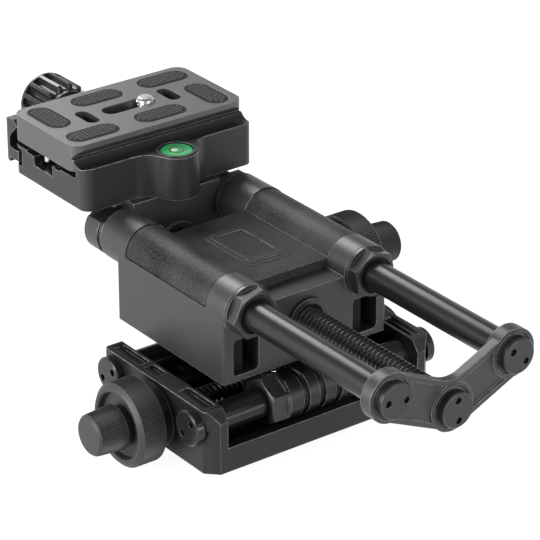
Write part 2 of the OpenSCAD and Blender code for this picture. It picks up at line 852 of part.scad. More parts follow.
module front_bracket() color(BLACK)
    difference() {
        vee_plate([bracket_front, bracket_back], 0);
        difference() {
            vee_plate([bracket_front - eps, bracket_front + rim_d], rim_w);
            for (c = lobes)
                bar_y([bracket_front - 1, bracket_back], c, lobe_r - rim_w + 0.2);
        }
        for (x = [-1, 1])
            bar_y([bracket_front - 1, bracket_back + 1], [x * rod_x, rod_z], focus_rod_r + fit);
        bar_y([bracket_front - 1, bracket_back + 1], [0, screw_z], focus_screw_r + fit);
    }

module front_bracket_caps() color(DARK)
    for (i = [0 : 2]) face_front(bracket_front - fit, lobes[i]) hole_cap(cap_turns[i]);

module rear_outline() {
    top = rear_top;
    intersection() {
        union() {
            for (c = lobes) translate(c) circle(rear_lobe_r);
            polygon(concat([[-rod_x, top], [rod_x, top]], arm_points(rear_lobe_r)));
        }
        translate([-body_w, 0]) square([2 * body_w, top]);
    }
}

module rear_bracket() color(BLACK)
    difference() {
        union() {
            plate_along_y([rear_front, rear_back]) rear_outline();
            for (c = lobes) bar_y([rear_front - ring_reach, rear_front + 1], c, rear_lobe_r - 0.8);
            slab([-shelf_half, shelf_half], [rear_front, shelf_back], [shelf_low, clamp_low - fit]);
        }
        for (x = [-1, 1])
            bar_y([tube_back, rear_back + 1], [x * rod_x, rod_z], focus_rod_r + fit);
        bar_y([tube_back, rear_back + 1], [0, screw_z], focus_screw_r + fit);
        for (x = [-1, 1], at = clamp_bolts_at) {
            bar_z([shelf_low - 1, clamp_low + 1], [x * at[0], at[1]], clamp_bolt_r + fit);
            bar_z([shelf_low - 1, shelf_low + 4.2], [x * at[0], at[1]], 2 * clamp_bolt_r - 0.5);
        }
    }

module rear_bracket_caps() color(DARK)
    for (i = [0 : 2]) face_rear(rear_back + fit, lobes[i]) hole_cap(cap_turns[i]);

module clamp_bolts() color(STEEL)
    for (x = [-1, 1], at = clamp_bolts_at)
        difference() {
            union() {
                bar_z([shelf_low + 0.4, shelf_low + 4.1], [x * at[0], at[1]], 2 * clamp_bolt_r - 0.8);
                bar_z([shelf_low + 4, clamp_low + 4], [x * at[0], at[1]], clamp_bolt_r);
            }
            translate([x * at[0], at[1], shelf_low])
                cylinder(h = 3, r = clamp_bolt_r, $fn = 6);
        }

// Side view of the clamp's body in Y and Z
module clamp_side() {
    front = clamp_front;
    nose = groove_mid;
    polygon([
        [front, clamp_low], [lip_back, clamp_low], [lip_back, clamp_low + 3],
        [wall_back, clamp_low + 3], [wall_back, bed_z - 1.1], [lip_back + 0.3, bed_z - 1.1],
        [lip_back + 0.3, bed_z], [wall_back - 3, bed_z], [wall_back - 3.5, bed_z - 0.7],
        [wall_back - 7.8, bed_z - 0.7], [wall_back - 7.8, clamp_low + 6.4],
        [wall_back - 19.2, clamp_low + 6.4], [wall_back - 19.2, bed_z - 0.2],
        [plate_front + 13, bed_z], [plate_front + 13, bed_z - 0.7],
        [plate_front + 10, bed_z - 0.7], [plate_front + 10, bed_z],
        [plate_front + 0.6, bed_z + 0.3], [plate_front - gap, bed_z + 1],
        [plate_front - gap, groove_low + 0.1], [plate_front + plate_groove - 0.4, nose],
        [plate_front + plate_groove - 1.6, nose], [plate_front - 0.4, jaw_top], [front, jaw_top]
    ]);
}

// Plan of the tower and of the curves that lead it into the clamp's front
module tower_plan() {
    drop = clamp_front - tower_y;
    centre_x = sqrt((tower_blend + tower_r) ^ 2 - (drop - tower_blend) ^ 2);
    touch = tower_r / (tower_r + tower_blend) * [centre_x, drop - tower_blend];
    translate([0, tower_y]) {
        circle(tower_r);
        difference() {
            polygon([
                [-centre_x, drop + 1], [centre_x, drop + 1], [centre_x, drop], touch,
                [-touch[0], touch[1]], [-centre_x, drop]
            ]);
            for (x = [-1, 1]) translate([x * centre_x, drop - tower_blend]) circle(tower_blend);
        }
    }
}

module clamp_body() color(GREY)
    difference() {
        union() {
            intersection() {
                plate_along_x([-clamp_w / 2, clamp_w / 2]) clamp_side();
                translate([0, (clamp_front + plate_back) / 2, clamp_low])
                    linear_extrude(plate_h * 2)
                        round_rect([clamp_w, plate_back - clamp_front], clamp_corner);
            }
            translate([0, 0, clamp_low]) linear_extrude(clamp_h) tower_plan();
        }
        bar_z([jaw_top - 5, jaw_top + 1], [0, tower_y], level_r + fit);
        for (x = [-1, 1]) {
            slab(
                x < 0 ? [-clamp_w / 2 + 3, -shelf_half - 1.2] : [shelf_half + 1.2, clamp_w / 2 - 3],
                [wall_back - 10.5, plate_back + 1], [clamp_low - eps, clamp_low + 7.6]);
            bar_y([wall_back - 6, plate_back], [x * pin_x, clamp_screw_z], pin_r + fit);
            for (at = clamp_bolts_at)
                bar_z([clamp_low - 1, clamp_low + 4.5], [x * at[0], at[1]], clamp_bolt_r + fit);
        }
        bar_y(
            [clamp_front + 22, plate_back + 1], [0, clamp_screw_z], clamp_screw_r + run);
    }

module level_rim() color(BLACK)
    difference() {
        bar_z([jaw_top - 5 + fit, jaw_top + 0.4], [0, tower_y], level_r);
        bar_z([jaw_top - 6, jaw_top + 1], [0, tower_y], level_r - level_wall);
    }

module level_vial() color(GREEN)
    bar_z([jaw_top - 5 + fit, jaw_top + 0.1], [0, tower_y], level_r - level_wall - fit);

// Side view of the sliding jaw in Y and Z, square where its outer edge is round
module jaw_side() {
    nose = [plate_back - plate_groove + 0.4, groove_mid];
    low = clamp_low + 2.5;
    polygon([
        nose, [nose[0] + 2, jaw_high], [jaw_out - jaw_round, jaw_high],
        [jaw_out, jaw_high - jaw_round], [jaw_out, low + 1.3], [jaw_out - 1.4, low],
        [jaw_in, low], [jaw_in, tongue[0]], [jaw_in - tongue_l, tongue[0]],
        [jaw_in - tongue_l, tongue[1]], [jaw_in, tongue[1]], [jaw_in, nose[1] - jaw_in + nose[0]]
    ]);
}

module clamp_jaw() color(GREY)
    difference() {
        intersection() {
            union() {
                plate_along_x([-clamp_w / 2, clamp_w / 2]) jaw_side();
                intersection() {
                    bar_x(
                        [-clamp_w / 2, clamp_w / 2],
                        [jaw_out - jaw_round, jaw_high - jaw_round], jaw_round);
                    slab(
                        [-clamp_w / 2, clamp_w / 2], [jaw_out - jaw_round, jaw_out],
                        [jaw_high - jaw_round, jaw_high]);
                }
            }
            translate([0, jaw_out - plate_w / 2, clamp_low])
                linear_extrude(plate_h * 3) round_rect([clamp_w, plate_w], clamp_corner);
        }
        bar_y([jaw_in - 10, jaw_out + 1], [0, clamp_screw_z], clamp_screw_r + gap);
        for (x = [-1, 1])
            bar_y([jaw_in - 10, jaw_out - 1.6], [x * pin_x, clamp_screw_z], pin_r + run);
    }

module jaw_guide_pins() color(STEEL)
    for (x = [-1, 1])
        bar_y([wall_back - 5.8, jaw_out - 2.2], [x * pin_x, clamp_screw_z], pin_r);

module clamp_screw() color(STEEL)
    bar_y([clamp_front + 24, grip_y + grip_l - 3], [0, clamp_screw_z], clamp_screw_r);

module clamp_knob_washer() color(STEEL)
    ring_y(
        [jaw_out + fit, jaw_out + fit + washer_t], [0, clamp_screw_z], 8, clamp_screw_r + gap);

// Outline of a grip with straight-sided flutes
module flute_outline(ridge, valley, count) {
    step = 360 / count;
    polygon([
        for (i = [0 : count - 1], p = [[-0.28, ridge], [0.12, ridge], [0.3, valley], [0.54, valley]])
            p[1] * [cos((i + p[0]) * step), sin((i + p[0]) * step)]
    ]);
}

module clamp_knob() color(BLACK)
    face_rear(grip_y - neck_l, [0, clamp_screw_z])
        difference() {
            union() {
                cylinder(h = neck_l + 1, r = 6);
                translate([0, 0, neck_l - 1]) cylinder(h = 1.5, r = grip_r - 1.5);
                intersection() {
                    translate([0, 0, neck_l])
                        linear_extrude(grip_l)
                            flute_outline(grip_r, grip_r - 0.9, grip_flutes);
                    translate([0, 0, neck_l])
                        rotate_extrude()
                            polygon([
                                [0, 0], [grip_r - 0.8, 0], [grip_r + 0.2, 1],
                                [grip_r + 0.2, grip_l - 1.4], [grip_r - 1.4, grip_l], [0, grip_l]
                            ]);
                }
            }
            translate([0, 0, -1]) cylinder(h = neck_l + grip_l - 1.9, r = clamp_screw_r + fit);
            translate([0, 0, neck_l + grip_l - 0.8]) cylinder(h = 1, r = grip_r - 3);
        }

// End view of the plate in Y and Z, with the dovetail grooves of its long sides
module plate_side() {
    half = plate_w / 2;
    waist = half - plate_groove;
    translate([plate_y, 0])
        polygon([
            [-half, plate_low], [half, plate_low], [half, groove_low], [waist, groove_mid],
            [half, groove_top], [half, plate_top], [-half, plate_top], [-half, groove_top],
            [-waist, groove_mid], [-half, groove_low]
        ]);
}

// Draws its children at the place of each rubber pad, in the plate's plan
module at_pads() {
    for (side = [0, 180], p = pads_at)
        translate([0, plate_y, 0]) rotate(side) translate([p[0], p[1], 0]) rotate(p[2]) children();
}

module quick_plate() color(GREY)
    difference() {
        intersection() {
            plate_along_x([-plate_l / 2, plate_l / 2]) plate_side();
            translate([0, plate_y, plate_low])
                linear_extrude(plate_h) round_rect([plate_l, plate_w], plate_corner);
        }
        translate([0, plate_y, plate_low - eps]) {
            linear_extrude(1 + eps) round_rect([plate_l - 8, plate_w - 10], 3);
            linear_extrude(bore_top - plate_low + eps)
                stadium(2 * (screw_x + stub_r + gap), 2 * (stub_r + gap));
            linear_extrude(plate_h + 2 * eps) stadium(2 * slot_half, 2 * camera_screw_r + 0.35);
            for (x = [-1, 1])
                translate([x * 16.9, 0])
                    linear_extrude(plate_h + 2 * eps) rotate(90) stadium(11.2, 5);
        }
        at_pads()
            translate([0, 0, plate_top - 1.2]) linear_extrude(2) stadium(pad_l, pad_w);
    }

module plate_pads() color(RUBBER)
    at_pads()
        translate([0, 0, plate_top - 1.2 + fit])
            linear_extrude(1.2 - fit + pad_out) stadium(pad_l - 0.2, pad_w - 0.2);

module screw_clip() color(STEEL)
    difference() {
        bar_z([bore_top - run - clip_t, bore_top - run], [screw_x, plate_y], 5.6);
        bar_z([plate_low, plate_top], [screw_x, plate_y], neck_r + run);
    }

module camera_screw() color(STEEL) {
    head = [plate_low + 0.6, bore_top - clip_t - 2 * run];
    thread = [plate_top + 0.2, plate_top + camera_screw_out - 0.6];
    difference() {
        union() {
            bar_z([head[0], thread[1]], [screw_x, plate_y], neck_r);
            bar_z(thread, [screw_x, plate_y], camera_screw_r);
            translate([screw_x, plate_y, plate_top + camera_screw_out - 0.6])
                cylinder(h = 0.6, r1 = camera_screw_r, r2 = camera_screw_r - 0.6);
            bar_z(head, [screw_x, plate_y], stub_r);
        }
        slab([screw_x - stub_r, screw_x + stub_r], [plate_y - 0.8, plate_y + 0.8], [0, head[0] + 1.4]);
    }
}

base_frame();
lower_screw_bushes();
lower_guide_rods();
lower_rod_caps();
lower_lead_screw();
lower_screw_end_cap();
lower_adjust_knob();
lower_lock_knob();
lower_carriage();
lower_rod_bushes();
lower_gland_nuts();
lower_rod_wipers();
lower_drive_nut();
carriage_bolts();
main_body();
top_cover();
upper_rod_bushes();
front_gland_nuts();
front_rod_wipers();
screw_collar();
nut_bearing();
rotating_nut();
nut_bevel_gear();
drive_bevel_pinion();
drive_shaft();
shaft_bush();
upper_adjust_knob();
upper_lock_knob();
upper_guide_rods();
focus_lead_screw();
front_bracket();
front_bracket_caps();
rear_bracket();
rear_bracket_caps();
clamp_bolts();
clamp_body();
level_rim();
level_vial();
clamp_jaw();
jaw_guide_pins();
clamp_screw();
clamp_knob_washer();
clamp_knob();
quick_plate();
plate_pads();
screw_clip();
camera_screw();
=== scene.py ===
import json
import logging
import math
from collections.abc import Callable, Iterable
from dataclasses import dataclass, replace
from enum import Enum

import bmesh
import bpy
from mathutils import Matrix, Vector


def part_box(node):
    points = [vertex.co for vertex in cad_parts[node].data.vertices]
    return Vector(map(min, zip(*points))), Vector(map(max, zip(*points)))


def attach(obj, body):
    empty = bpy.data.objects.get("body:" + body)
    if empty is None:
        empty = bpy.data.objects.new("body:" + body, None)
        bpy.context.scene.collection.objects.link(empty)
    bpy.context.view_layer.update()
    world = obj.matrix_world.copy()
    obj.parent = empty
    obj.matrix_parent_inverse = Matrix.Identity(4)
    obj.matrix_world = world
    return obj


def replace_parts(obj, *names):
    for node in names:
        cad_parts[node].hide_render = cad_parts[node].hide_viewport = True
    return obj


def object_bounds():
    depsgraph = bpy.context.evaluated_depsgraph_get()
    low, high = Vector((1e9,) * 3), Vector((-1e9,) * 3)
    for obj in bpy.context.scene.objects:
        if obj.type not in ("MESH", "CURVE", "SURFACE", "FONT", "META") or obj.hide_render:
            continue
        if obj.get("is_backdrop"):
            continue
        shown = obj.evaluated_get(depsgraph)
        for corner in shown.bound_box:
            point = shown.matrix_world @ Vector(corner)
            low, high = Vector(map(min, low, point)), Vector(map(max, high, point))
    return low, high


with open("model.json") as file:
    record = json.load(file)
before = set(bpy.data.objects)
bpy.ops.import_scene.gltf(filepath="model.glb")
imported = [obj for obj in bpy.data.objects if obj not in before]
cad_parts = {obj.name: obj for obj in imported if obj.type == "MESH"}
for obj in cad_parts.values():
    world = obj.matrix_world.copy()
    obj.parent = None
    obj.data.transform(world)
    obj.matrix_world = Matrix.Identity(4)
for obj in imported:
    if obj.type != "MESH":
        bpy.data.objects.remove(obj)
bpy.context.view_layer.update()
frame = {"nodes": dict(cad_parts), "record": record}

MM = 0.001
TINY = 1e-6  # a length that counts as nothing
FLAT = 25.0  # degrees of turn from which the edges of flat-sided pieces stay sharp
LEVEL_WITHIN = 0.2  # degrees within which two faces are one flat face
COLUMN_W = 190  # width of a node's column on its sheet
DRIFTS = 45.0  # drifts of tone per metre
EDGE_LINE_PATCHES = 420.0  # patches per metre in the line of wear and painted highlight along edges
BENT = (0.995, 0.86)  # cosines of an edge's turn where its wear and painted highlight begin and where they are full
DIAGONAL = 1.414  # of a square, by its side
THREAD_SHAPE = (  # along one turn and up its flank, as shares of the pitch and the depth
    (0.0, 0.0), (0.12, 0.0), (0.2, 0.2), (0.42, 0.92), (0.48, 1.0), (0.6, 1.0), (0.66, 0.92), (0.88, 0.2))
CAP_HOLE_R = 1.25  # the two holes of an end cap: radius, distance from its middle, depth
CAP_HOLE_OUT = 3.5
CAP_HOLE_D = 1.65
LOG = logging.getLogger("focusing_rail")

Colour = tuple[float, float, float]
Place = tuple[float, float, float]
Pair = tuple[float, float]
Outline = list[Pair]
Profile = list[tuple[float, ...]]
Valley = Callable[[float], float]
Socket = bpy.types.NodeSocket
Piece = bpy.types.Object
Mesh = bpy.types.Mesh


class Way(Enum):
    """The direction in which a turned piece grows from its seat."""

    LEFT = (-1.0, 0.0, 0.0)
    RIGHT = (1.0, 0.0, 0.0)
    REAR = (0.0, 1.0, 0.0)
    UP = (0.0, 0.0, 1.0)


class Axis(Enum):
    """An axis, as the indexes of an outline's two coordinates and of the axis itself."""

    X = (1, 2, 0)
    Y = (0, 2, 1)
    Z = (0, 1, 2)


class Edge(Enum):
    """How softly the edges of a made part are broken, in millimetres."""

    CRISP = 0.12
    MACHINED = 0.25
    CAST = 0.5


class NodeSheet:
    """Lays out shader nodes in one tree and joins them."""

    def __init__(self, tree: bpy.types.NodeTree) -> None:
        """Starts on a tree."""
        self.tree = tree
        self.column = 0

    def add(self, kind: str, settings: dict | None = None, **inputs: object) -> bpy.types.Node:
        """Adds a node, sets it and feeds its inputs.

        Args:
            kind: The shader node's type in Blender, without ShaderNode.
            settings: Properties of the node.
            inputs: Values or output sockets, by socket name with _ for a space, or by in0, in1.

        Returns:
            The new node.
        """
        node = self.tree.nodes.new("ShaderNode" + kind)
        node.location = (self.column * COLUMN_W, 0)
        self.column += 1
        for name, value in (settings or {}).items():
            setattr(node, name, value)
        for name, value in inputs.items():
            number = name.removeprefix("in")
            key = int(number) if number.isdigit() else name.replace("_", " ")
            self.feed(node.inputs[key], value)
        return node

    def feed(self, socket: Socket, value: object) -> None:
        """Joins an output to an input, or sets the input's own value.

        Args:
            socket: The input.
            value: The output, or a plain value.
        """
        if isinstance(value, Socket):
            self.tree.links.new(value, socket)
        else:
            socket.default_value = value

    def sum(self, operation: str, *terms: object) -> Socket:
        """One step of arithmetic, and its result's socket."""
        inputs = {f"in{index}": term for index, term in enumerate(terms)}
        return self.add("Math", {"operation": operation}, **inputs).outputs[0]

    def vector(self, operation: str, *terms: object) -> Socket:
        """One step of vector arithmetic.

        Args:
            operation: The name of the operation.
            terms: What it works on, values or output sockets.

        Returns:
            The socket of its number or vector.
        """
        inputs = {f"in{index}": term for index, term in enumerate(terms)}
        made = self.add("VectorMath", {"operation": operation}, **inputs).outputs
        return made["Value" if operation in ("DOT_PRODUCT", "LENGTH") else "Vector"]

    def noise(self, scale: object, detail: float) -> Socket:
        """A noise that is fixed to the object, and its socket."""
        place = self.add("TexCoord").outputs["Object"]
        return self.add("TexNoise", Vector=place, Scale=scale, Detail=detail).outputs["Fac"]

    def span(self, value: object, low: float, high: float, to: Pair = (0.0, 1.0)) -> Socket:
        """Maps a value smoothly to another span, held at its ends.

        Args:
            value: The value, or its output socket.
            low: Where the value's span starts, which may be its greater end.
            high: Where it ends.
            to: The two ends of the other span.

        Returns:
            The result's socket.
        """
        return self.add(
            "MapRange", {"interpolation_type": "SMOOTHSTEP"},
            in0=value, in1=low, in2=high, in3=to[0], in4=to[1]).outputs[0]


class Effect:
    """A shader node group with named sockets, built once and shared by the finishes."""

    made: dict[str, bpy.types.NodeTree] = {}

    def __init__(self, name: str, takes: dict[str, object], gives: dict[str, str]) -> None:
        """Makes the group's sockets.

        Args:
            name: The group's name.
            takes: Input names and their starting values: a number, or a colour of four numbers.
            gives: Output names and their kinds.
        """
        self.tree = bpy.data.node_groups.new(name, "ShaderNodeTree")
        for socket, value in takes.items():
            kind = "Float"
            if isinstance(value, tuple):
                kind = "Color" if len(value) == 4 else "Vector"
            self.socket(socket, "INPUT", kind).default_value = value
        for socket, kind in gives.items():
            self.socket(socket, "OUTPUT", kind)
        self.sheet = NodeSheet(self.tree)
        self.source = self.tree.nodes.new("NodeGroupInput")
        Effect.made[name] = self.tree

    def socket(self, name: str, side: str, kind: str) -> bpy.types.NodeTreeInterfaceSocket:
        """Adds a named socket of a kind to the group's input or output side."""
        return self.tree.interface.new_socket(name, in_out=side, socket_type="NodeSocket" + kind)

    def taken(self, name: str) -> Socket:
        """The socket inside the group that carries this input."""
        return self.source.outputs[name]

    def give(self, **results: Socket) -> None:
        """Joins the results to the group's outputs.

        Args:
            results: The sockets inside the group, by the outputs' names.
        """
        sink = self.tree.nodes.new("NodeGroupOutput")
        for name, socket in results.items():
            self.sheet.feed(sink.inputs[name], socket)


def make_surface_grain() -> None:
    """Paint and blasted metal: slow drifts of tone and gloss under a fine grain."""
    effect = Effect(
        "surface_grain",
        {"Colour": (0.1, 0.1, 0.1, 1.0), "Drift": 0.25, "Roughness": 0.45, "Spread": 0.1,
         "Grain": 2500.0, "Clump": 0.0},
        {"Colour": "Color", "Roughness": "Float", "Height": "Float"})
    sheet, take = effect.sheet, effect.taken
    slow = sheet.sum("SUBTRACT", sheet.noise(DRIFTS, 3.0), 0.5)
    place = sheet.add("TexCoord").outputs["Object"]
    cells = sheet.add("TexVoronoi", {"feature": "SMOOTH_F1"}, Vector=place, Scale=take("Grain"))
    fine = sheet.noise(take("Grain"), 2.0)
    height = sheet.add("Mix", in0=take("Clump"), in2=fine, in3=cells.outputs["Distance"]).outputs[0]
    tone = sheet.sum("MULTIPLY_ADD", slow, take("Drift"), 1.0)
    speck = sheet.sum("MULTIPLY_ADD", sheet.sum("SUBTRACT", height, 0.5), take("Drift"), tone)
    colour = sheet.add("VectorMath", {"operation": "SCALE"}, in0=take("Colour"), Scale=speck).outputs[0]
    rough = sheet.sum("MULTIPLY_ADD", slow, take("Spread"), take("Roughness"))
    effect.give(Colour=colour, Roughness=rough, Height=height)


def make_edge_wear_and_highlight() -> None:
    """Rounded edges for the light, and a thin broken line of lighter colour along them: part edge wear, part
    painted edge highlight.
    """
    effect = Effect(
        "edge_wear_and_highlight",
        {"Colour": (0.1, 0.1, 0.1, 1.0), "Worn": (0.4, 0.4, 0.4, 1.0), "Amount": 0.3, "Radius": 0.0004},
        {"Colour": "Color", "Normal": "Vector"})
    sheet, take = effect.sheet, effect.taken
    soft = sheet.add("Bevel", {"samples": 6}, Radius=take("Radius")).outputs[0]
    flat = sheet.add("NewGeometry").outputs["Normal"]
    edge = sheet.span(sheet.vector("DOT_PRODUCT", soft, flat), *BENT)
    broken = sheet.span(sheet.noise(EDGE_LINE_PATCHES, 4.0), 0.35, 0.65, (0.35, 1.0))
    mask = sheet.sum("MULTIPLY", sheet.sum("MULTIPLY", edge, broken), take("Amount"))
    mixed = sheet.add("Mix", {"data_type": "RGBA"}, in0=mask, in6=take("Colour"), in7=take("Worn"))
    effect.give(Colour=mixed.outputs[2], Normal=soft)


def make_tool_lines() -> None:
    """Fine rings that a turning tool leaves round an axis or across a face."""
    effect = Effect(
        "tool_lines",
        {"Centre": (0.0, 0.0, 0.0), "Along": (0.0, 1.0, 0.0), "Pitch": 0.0002, "Depth": 0.5},
        {"Height": "Float"})
    sheet, take = effect.sheet, effect.taken
    offset = sheet.vector("SUBTRACT", sheet.add("TexCoord").outputs["Object"], take("Centre"))
    along = sheet.vector("DOT_PRODUCT", offset, take("Along"))
    radius = sheet.vector("LENGTH", sheet.vector("CROSS_PRODUCT", offset, take("Along")))
    where = sheet.sum("DIVIDE", sheet.sum("ADD", along, radius), take("Pitch"))
    line = sheet.add("TexNoise", {"noise_dimensions": "1D"}, W=where, Scale=1.0, Detail=2.0).outputs["Fac"]
    effect.give(Height=sheet.sum("MULTIPLY", line, take("Depth")))


@dataclass(frozen=True)
class Finish:
    """A finish of the rail: its colour, gloss, grain, and a lighter line along its edges that is part wear
    and part painted highlight.
    """

    name: str
    slot: str
    colour: Colour
    roughness: float
    metallic: float = 0.0
    spread: float = 0.08
    drift: float = 0.25
    grain: float = 2600.0
    clump: float = 0.0
    grain_depth: float = 0.01
    edge: Edge = Edge.CRISP
    # The next two set the colour and amount of the lighter line along edges: part wear, part painted edge
    # highlight.
    worn_and_highlight: Colour = (0.35, 0.35, 0.36)
    wear_and_highlight: float = 0.0
    specular: float = 0.5
    coat: float = 0.0
    coat_roughness: float = 0.2
    turned: tuple[Vector, Vector] | None = None
    line_pitch: float = 0.15
    line_depth: float = 0.6
    line_bump: float = 0.004

    def material(self) -> bpy.types.Material:
        """Builds the material once and gives the same one after that.

        Returns:
            The material with its node tree.
        """
        found = bpy.data.materials.get(self.name)
        if found:
            return found
        material = bpy.data.materials.new(self.name)
        material.use_nodes = True
        sheet = NodeSheet(material.node_tree)
        inputs = material.node_tree.nodes["Principled BSDF"].inputs
        grain = sheet.add(
            "Group", {"node_tree": Effect.made["surface_grain"]},
            Colour=(*self.colour, 1.0), Drift=self.drift, Roughness=self.roughness,
            Spread=self.spread, Grain=self.grain, Clump=self.clump).outputs
        # The lighter line along edges: part wear, part painted edge highlight.
        wear_and_highlight = sheet.add(
            "Group", {"node_tree": Effect.made["edge_wear_and_highlight"]}, Colour=grain["Colour"],
            Worn=(*self.worn_and_highlight, 1.0), Amount=self.wear_and_highlight, Radius=self.edge.value * MM).outputs
        normal = sheet.add(
            "Bump", Height=grain["Height"], Distance=self.grain_depth * MM, Normal=wear_and_highlight["Normal"]).outputs[0]
        if self.turned:
            lines = sheet.add(
                "Group", {"node_tree": Effect.made["tool_lines"]}, Centre=self.turned[0],
                Along=self.turned[1], Pitch=self.line_pitch * MM, Depth=self.line_depth).outputs
            normal = sheet.add(
                "Bump", Height=lines["Height"], Distance=self.line_bump * MM, Normal=normal).outputs[0]
        for name, value in (
                ("Base Color", wear_and_highlight["Colour"]), ("Roughness", grain["Roughness"]), ("Normal", normal),
                ("Metallic", self.metallic), ("Specular IOR Level", self.specular),
                ("Coat Weight", self.coat), ("Coat Roughness", self.coat_roughness)):
            sheet.feed(inputs[name], value)
        return material

    def dress(self, piece: Piece) -> None:
        """Puts the finish on every slot of a piece.

        Args:
            piece: The piece.
        """
        if not piece.data.materials:
            piece.data.materials.append(self.material())
        for slot in piece.material_slots:
            slot.material = self.material()


def turned_on(node: str, way: Way) -> tuple[Vector, Vector]:
    """The centre and the axis of a round CAD node, for its tool lines."""
    low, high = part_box(node)
    return (low + high) / 2, Vector(way.value)


# On the finishes below, the lighter colour along edges is part wear and part painted edge highlight.
CAST_BLACK = Finish(
    "satin_black_casting", "black_paint", (0.016, 0.016, 0.017), 0.4, spread=0.12, drift=0.3,
    grain=2200.0, grain_depth=0.012, edge=Edge.CAST, wear_and_highlight=0.85, worn_and_highlight=(0.24, 0.24, 0.245), specular=0.45)
BASE_BLACK = replace(
    CAST_BLACK, name="satin_black_base", colour=(0.007, 0.007, 0.0076), roughness=0.38, wear_and_highlight=0.9,
    specular=0.3)
# Near-black painted shade for recesses and hollows, far darker than the castings around them.
PAINTED_SHADE_BLACK = Finish("painted_shade_cavity_walls", "black_paint", (0.004, 0.004, 0.004), 0.6, specular=0.12)
POWDER_BLACK = Finish(
    "grained_black_cover", "black_paint", (0.023, 0.023, 0.0242), 0.5, drift=2.8, grain=1700.0,
    clump=0.5, grain_depth=0.14, edge=Edge.CAST, wear_and_highlight=0.7, worn_and_highlight=(0.2, 0.2, 0.205), specular=0.14)
CLAMP_BLACK = Finish(
    "anodised_clamp", "grey_anodised", (0.009, 0.009, 0.0098), 0.38, spread=0.1, drift=0.2,
    grain=3600.0, grain_depth=0.008, edge=Edge.CAST, wear_and_highlight=0.9, worn_and_highlight=(0.28, 0.28, 0.285), specular=0.4)
PLATE_GREY = Finish(
    "anodised_plate", "grey_anodised", (0.024, 0.024, 0.0255), 0.4, drift=0.3, grain=3800.0,
    grain_depth=0.014, edge=Edge.MACHINED, wear_and_highlight=0.6, worn_and_highlight=(0.3, 0.3, 0.31), specular=0.85)
NUT_BLACK = Finish(
    "oxidised_nuts", "black_anodised", (0.010, 0.010, 0.011), 0.32, spread=0.1, grain=4200.0,
    grain_depth=0.005, edge=Edge.MACHINED, wear_and_highlight=0.6, worn_and_highlight=(0.26, 0.26, 0.265), specular=0.45)
CAP_BLACK = Finish(
    "glossy_end_caps", "black_anodised", (0.009, 0.009, 0.010), 0.2, spread=0.06, drift=0.2,
    grain=3600.0, grain_depth=0.003, edge=Edge.MACHINED, wear_and_highlight=0.7, worn_and_highlight=(0.2, 0.2, 0.205), specular=0.35)
KNOB_BLACK = Finish(
    "moulded_knobs", "black_plastic", (0.016, 0.016, 0.017), 0.5, grain=3200.0, grain_depth=0.008,
    wear_and_highlight=0.4, worn_and_highlight=(0.14, 0.14, 0.14), specular=0.4)
GRIP_BLACK = Finish(
    "fluted_grip", "black_plastic", (0.009, 0.009, 0.0095), 0.34, spread=0.1, grain=3000.0,
    grain_depth=0.006, edge=Edge.MACHINED, wear_and_highlight=0.6, worn_and_highlight=(0.2, 0.2, 0.2), specular=0.35)
RUBBER_BLACK = Finish(
    "ribbed_rubber", "black_rubber", (0.004, 0.004, 0.004), 0.62, spread=0.1, drift=0.4, wear_and_highlight=0.25,
    worn_and_highlight=(0.06, 0.06, 0.06), specular=0.12)
# Lighter than the pad ground, which is darkened as painted shade between the studs.
STUD_BLACK = Finish(
    "rubber_studs", "black_rubber", (0.032, 0.032, 0.032), 0.6, spread=0.1, drift=0.3,
    grain_depth=0.008, specular=0.4)
SCREW_BLACK = Finish(
    "black_lead_screw", "black_steel", (0.010, 0.010, 0.0105), 0.24, drift=0.2, grain=2400.0,
    grain_depth=0.003, wear_and_highlight=0.3, worn_and_highlight=(0.3, 0.3, 0.3), specular=0.35)
ROD_BLACK = Finish(
    "ground_cross_rods", "black_steel", (0.007, 0.007, 0.0075), 0.2, spread=0.06, drift=0.2,
    grain_depth=0.002, wear_and_highlight=0.1, specular=0.3)
BRIGHT_ZINC = Finish(
    "bright_screws", "steel", (0.6, 0.6, 0.61), 0.24, metallic=1.0, spread=0.12, drift=0.15,
    grain=2000.0, grain_depth=0.002, wear_and_highlight=0.3, worn_and_highlight=(0.9, 0.9, 0.9))
BEARING_BRONZE = Finish(
    "bearing_bronze", "bronze", (0.30, 0.20, 0.10), 0.42, metallic=1.0, spread=0.12, grain=2400.0,
    grain_depth=0.004, wear_and_highlight=0.2, worn_and_highlight=(0.8, 0.62, 0.36))
LEVEL_GREEN = Finish(
    "level_liquid_green", "green_vial", (0.03, 0.36, 0.12), 0.08, spread=0.02, drift=0.3, grain=700.0,
    grain_depth=0.001, coat=0.6)
LEVEL_RING = Finish("level_ring_red", "green_vial", (0.16, 0.05, 0.03), 0.3, grain_depth=0.001)
LEVEL_BUBBLE = Finish(
    "level_bubble_pale", "green_vial", (0.35, 0.6, 0.45), 0.06, grain_depth=0.001, coat=1.0)


def polar(radius: float, angle: float, middle: Pair = (0.0, 0.0)) -> Pair:
    """The point at an angle and a distance from the middle."""
    return middle[0] + radius * math.cos(angle), middle[1] + radius * math.sin(angle)


def between(one: float, other: float) -> Pair:
    """Two ends of a span in rising order."""
    return min(one, other), max(one, other)


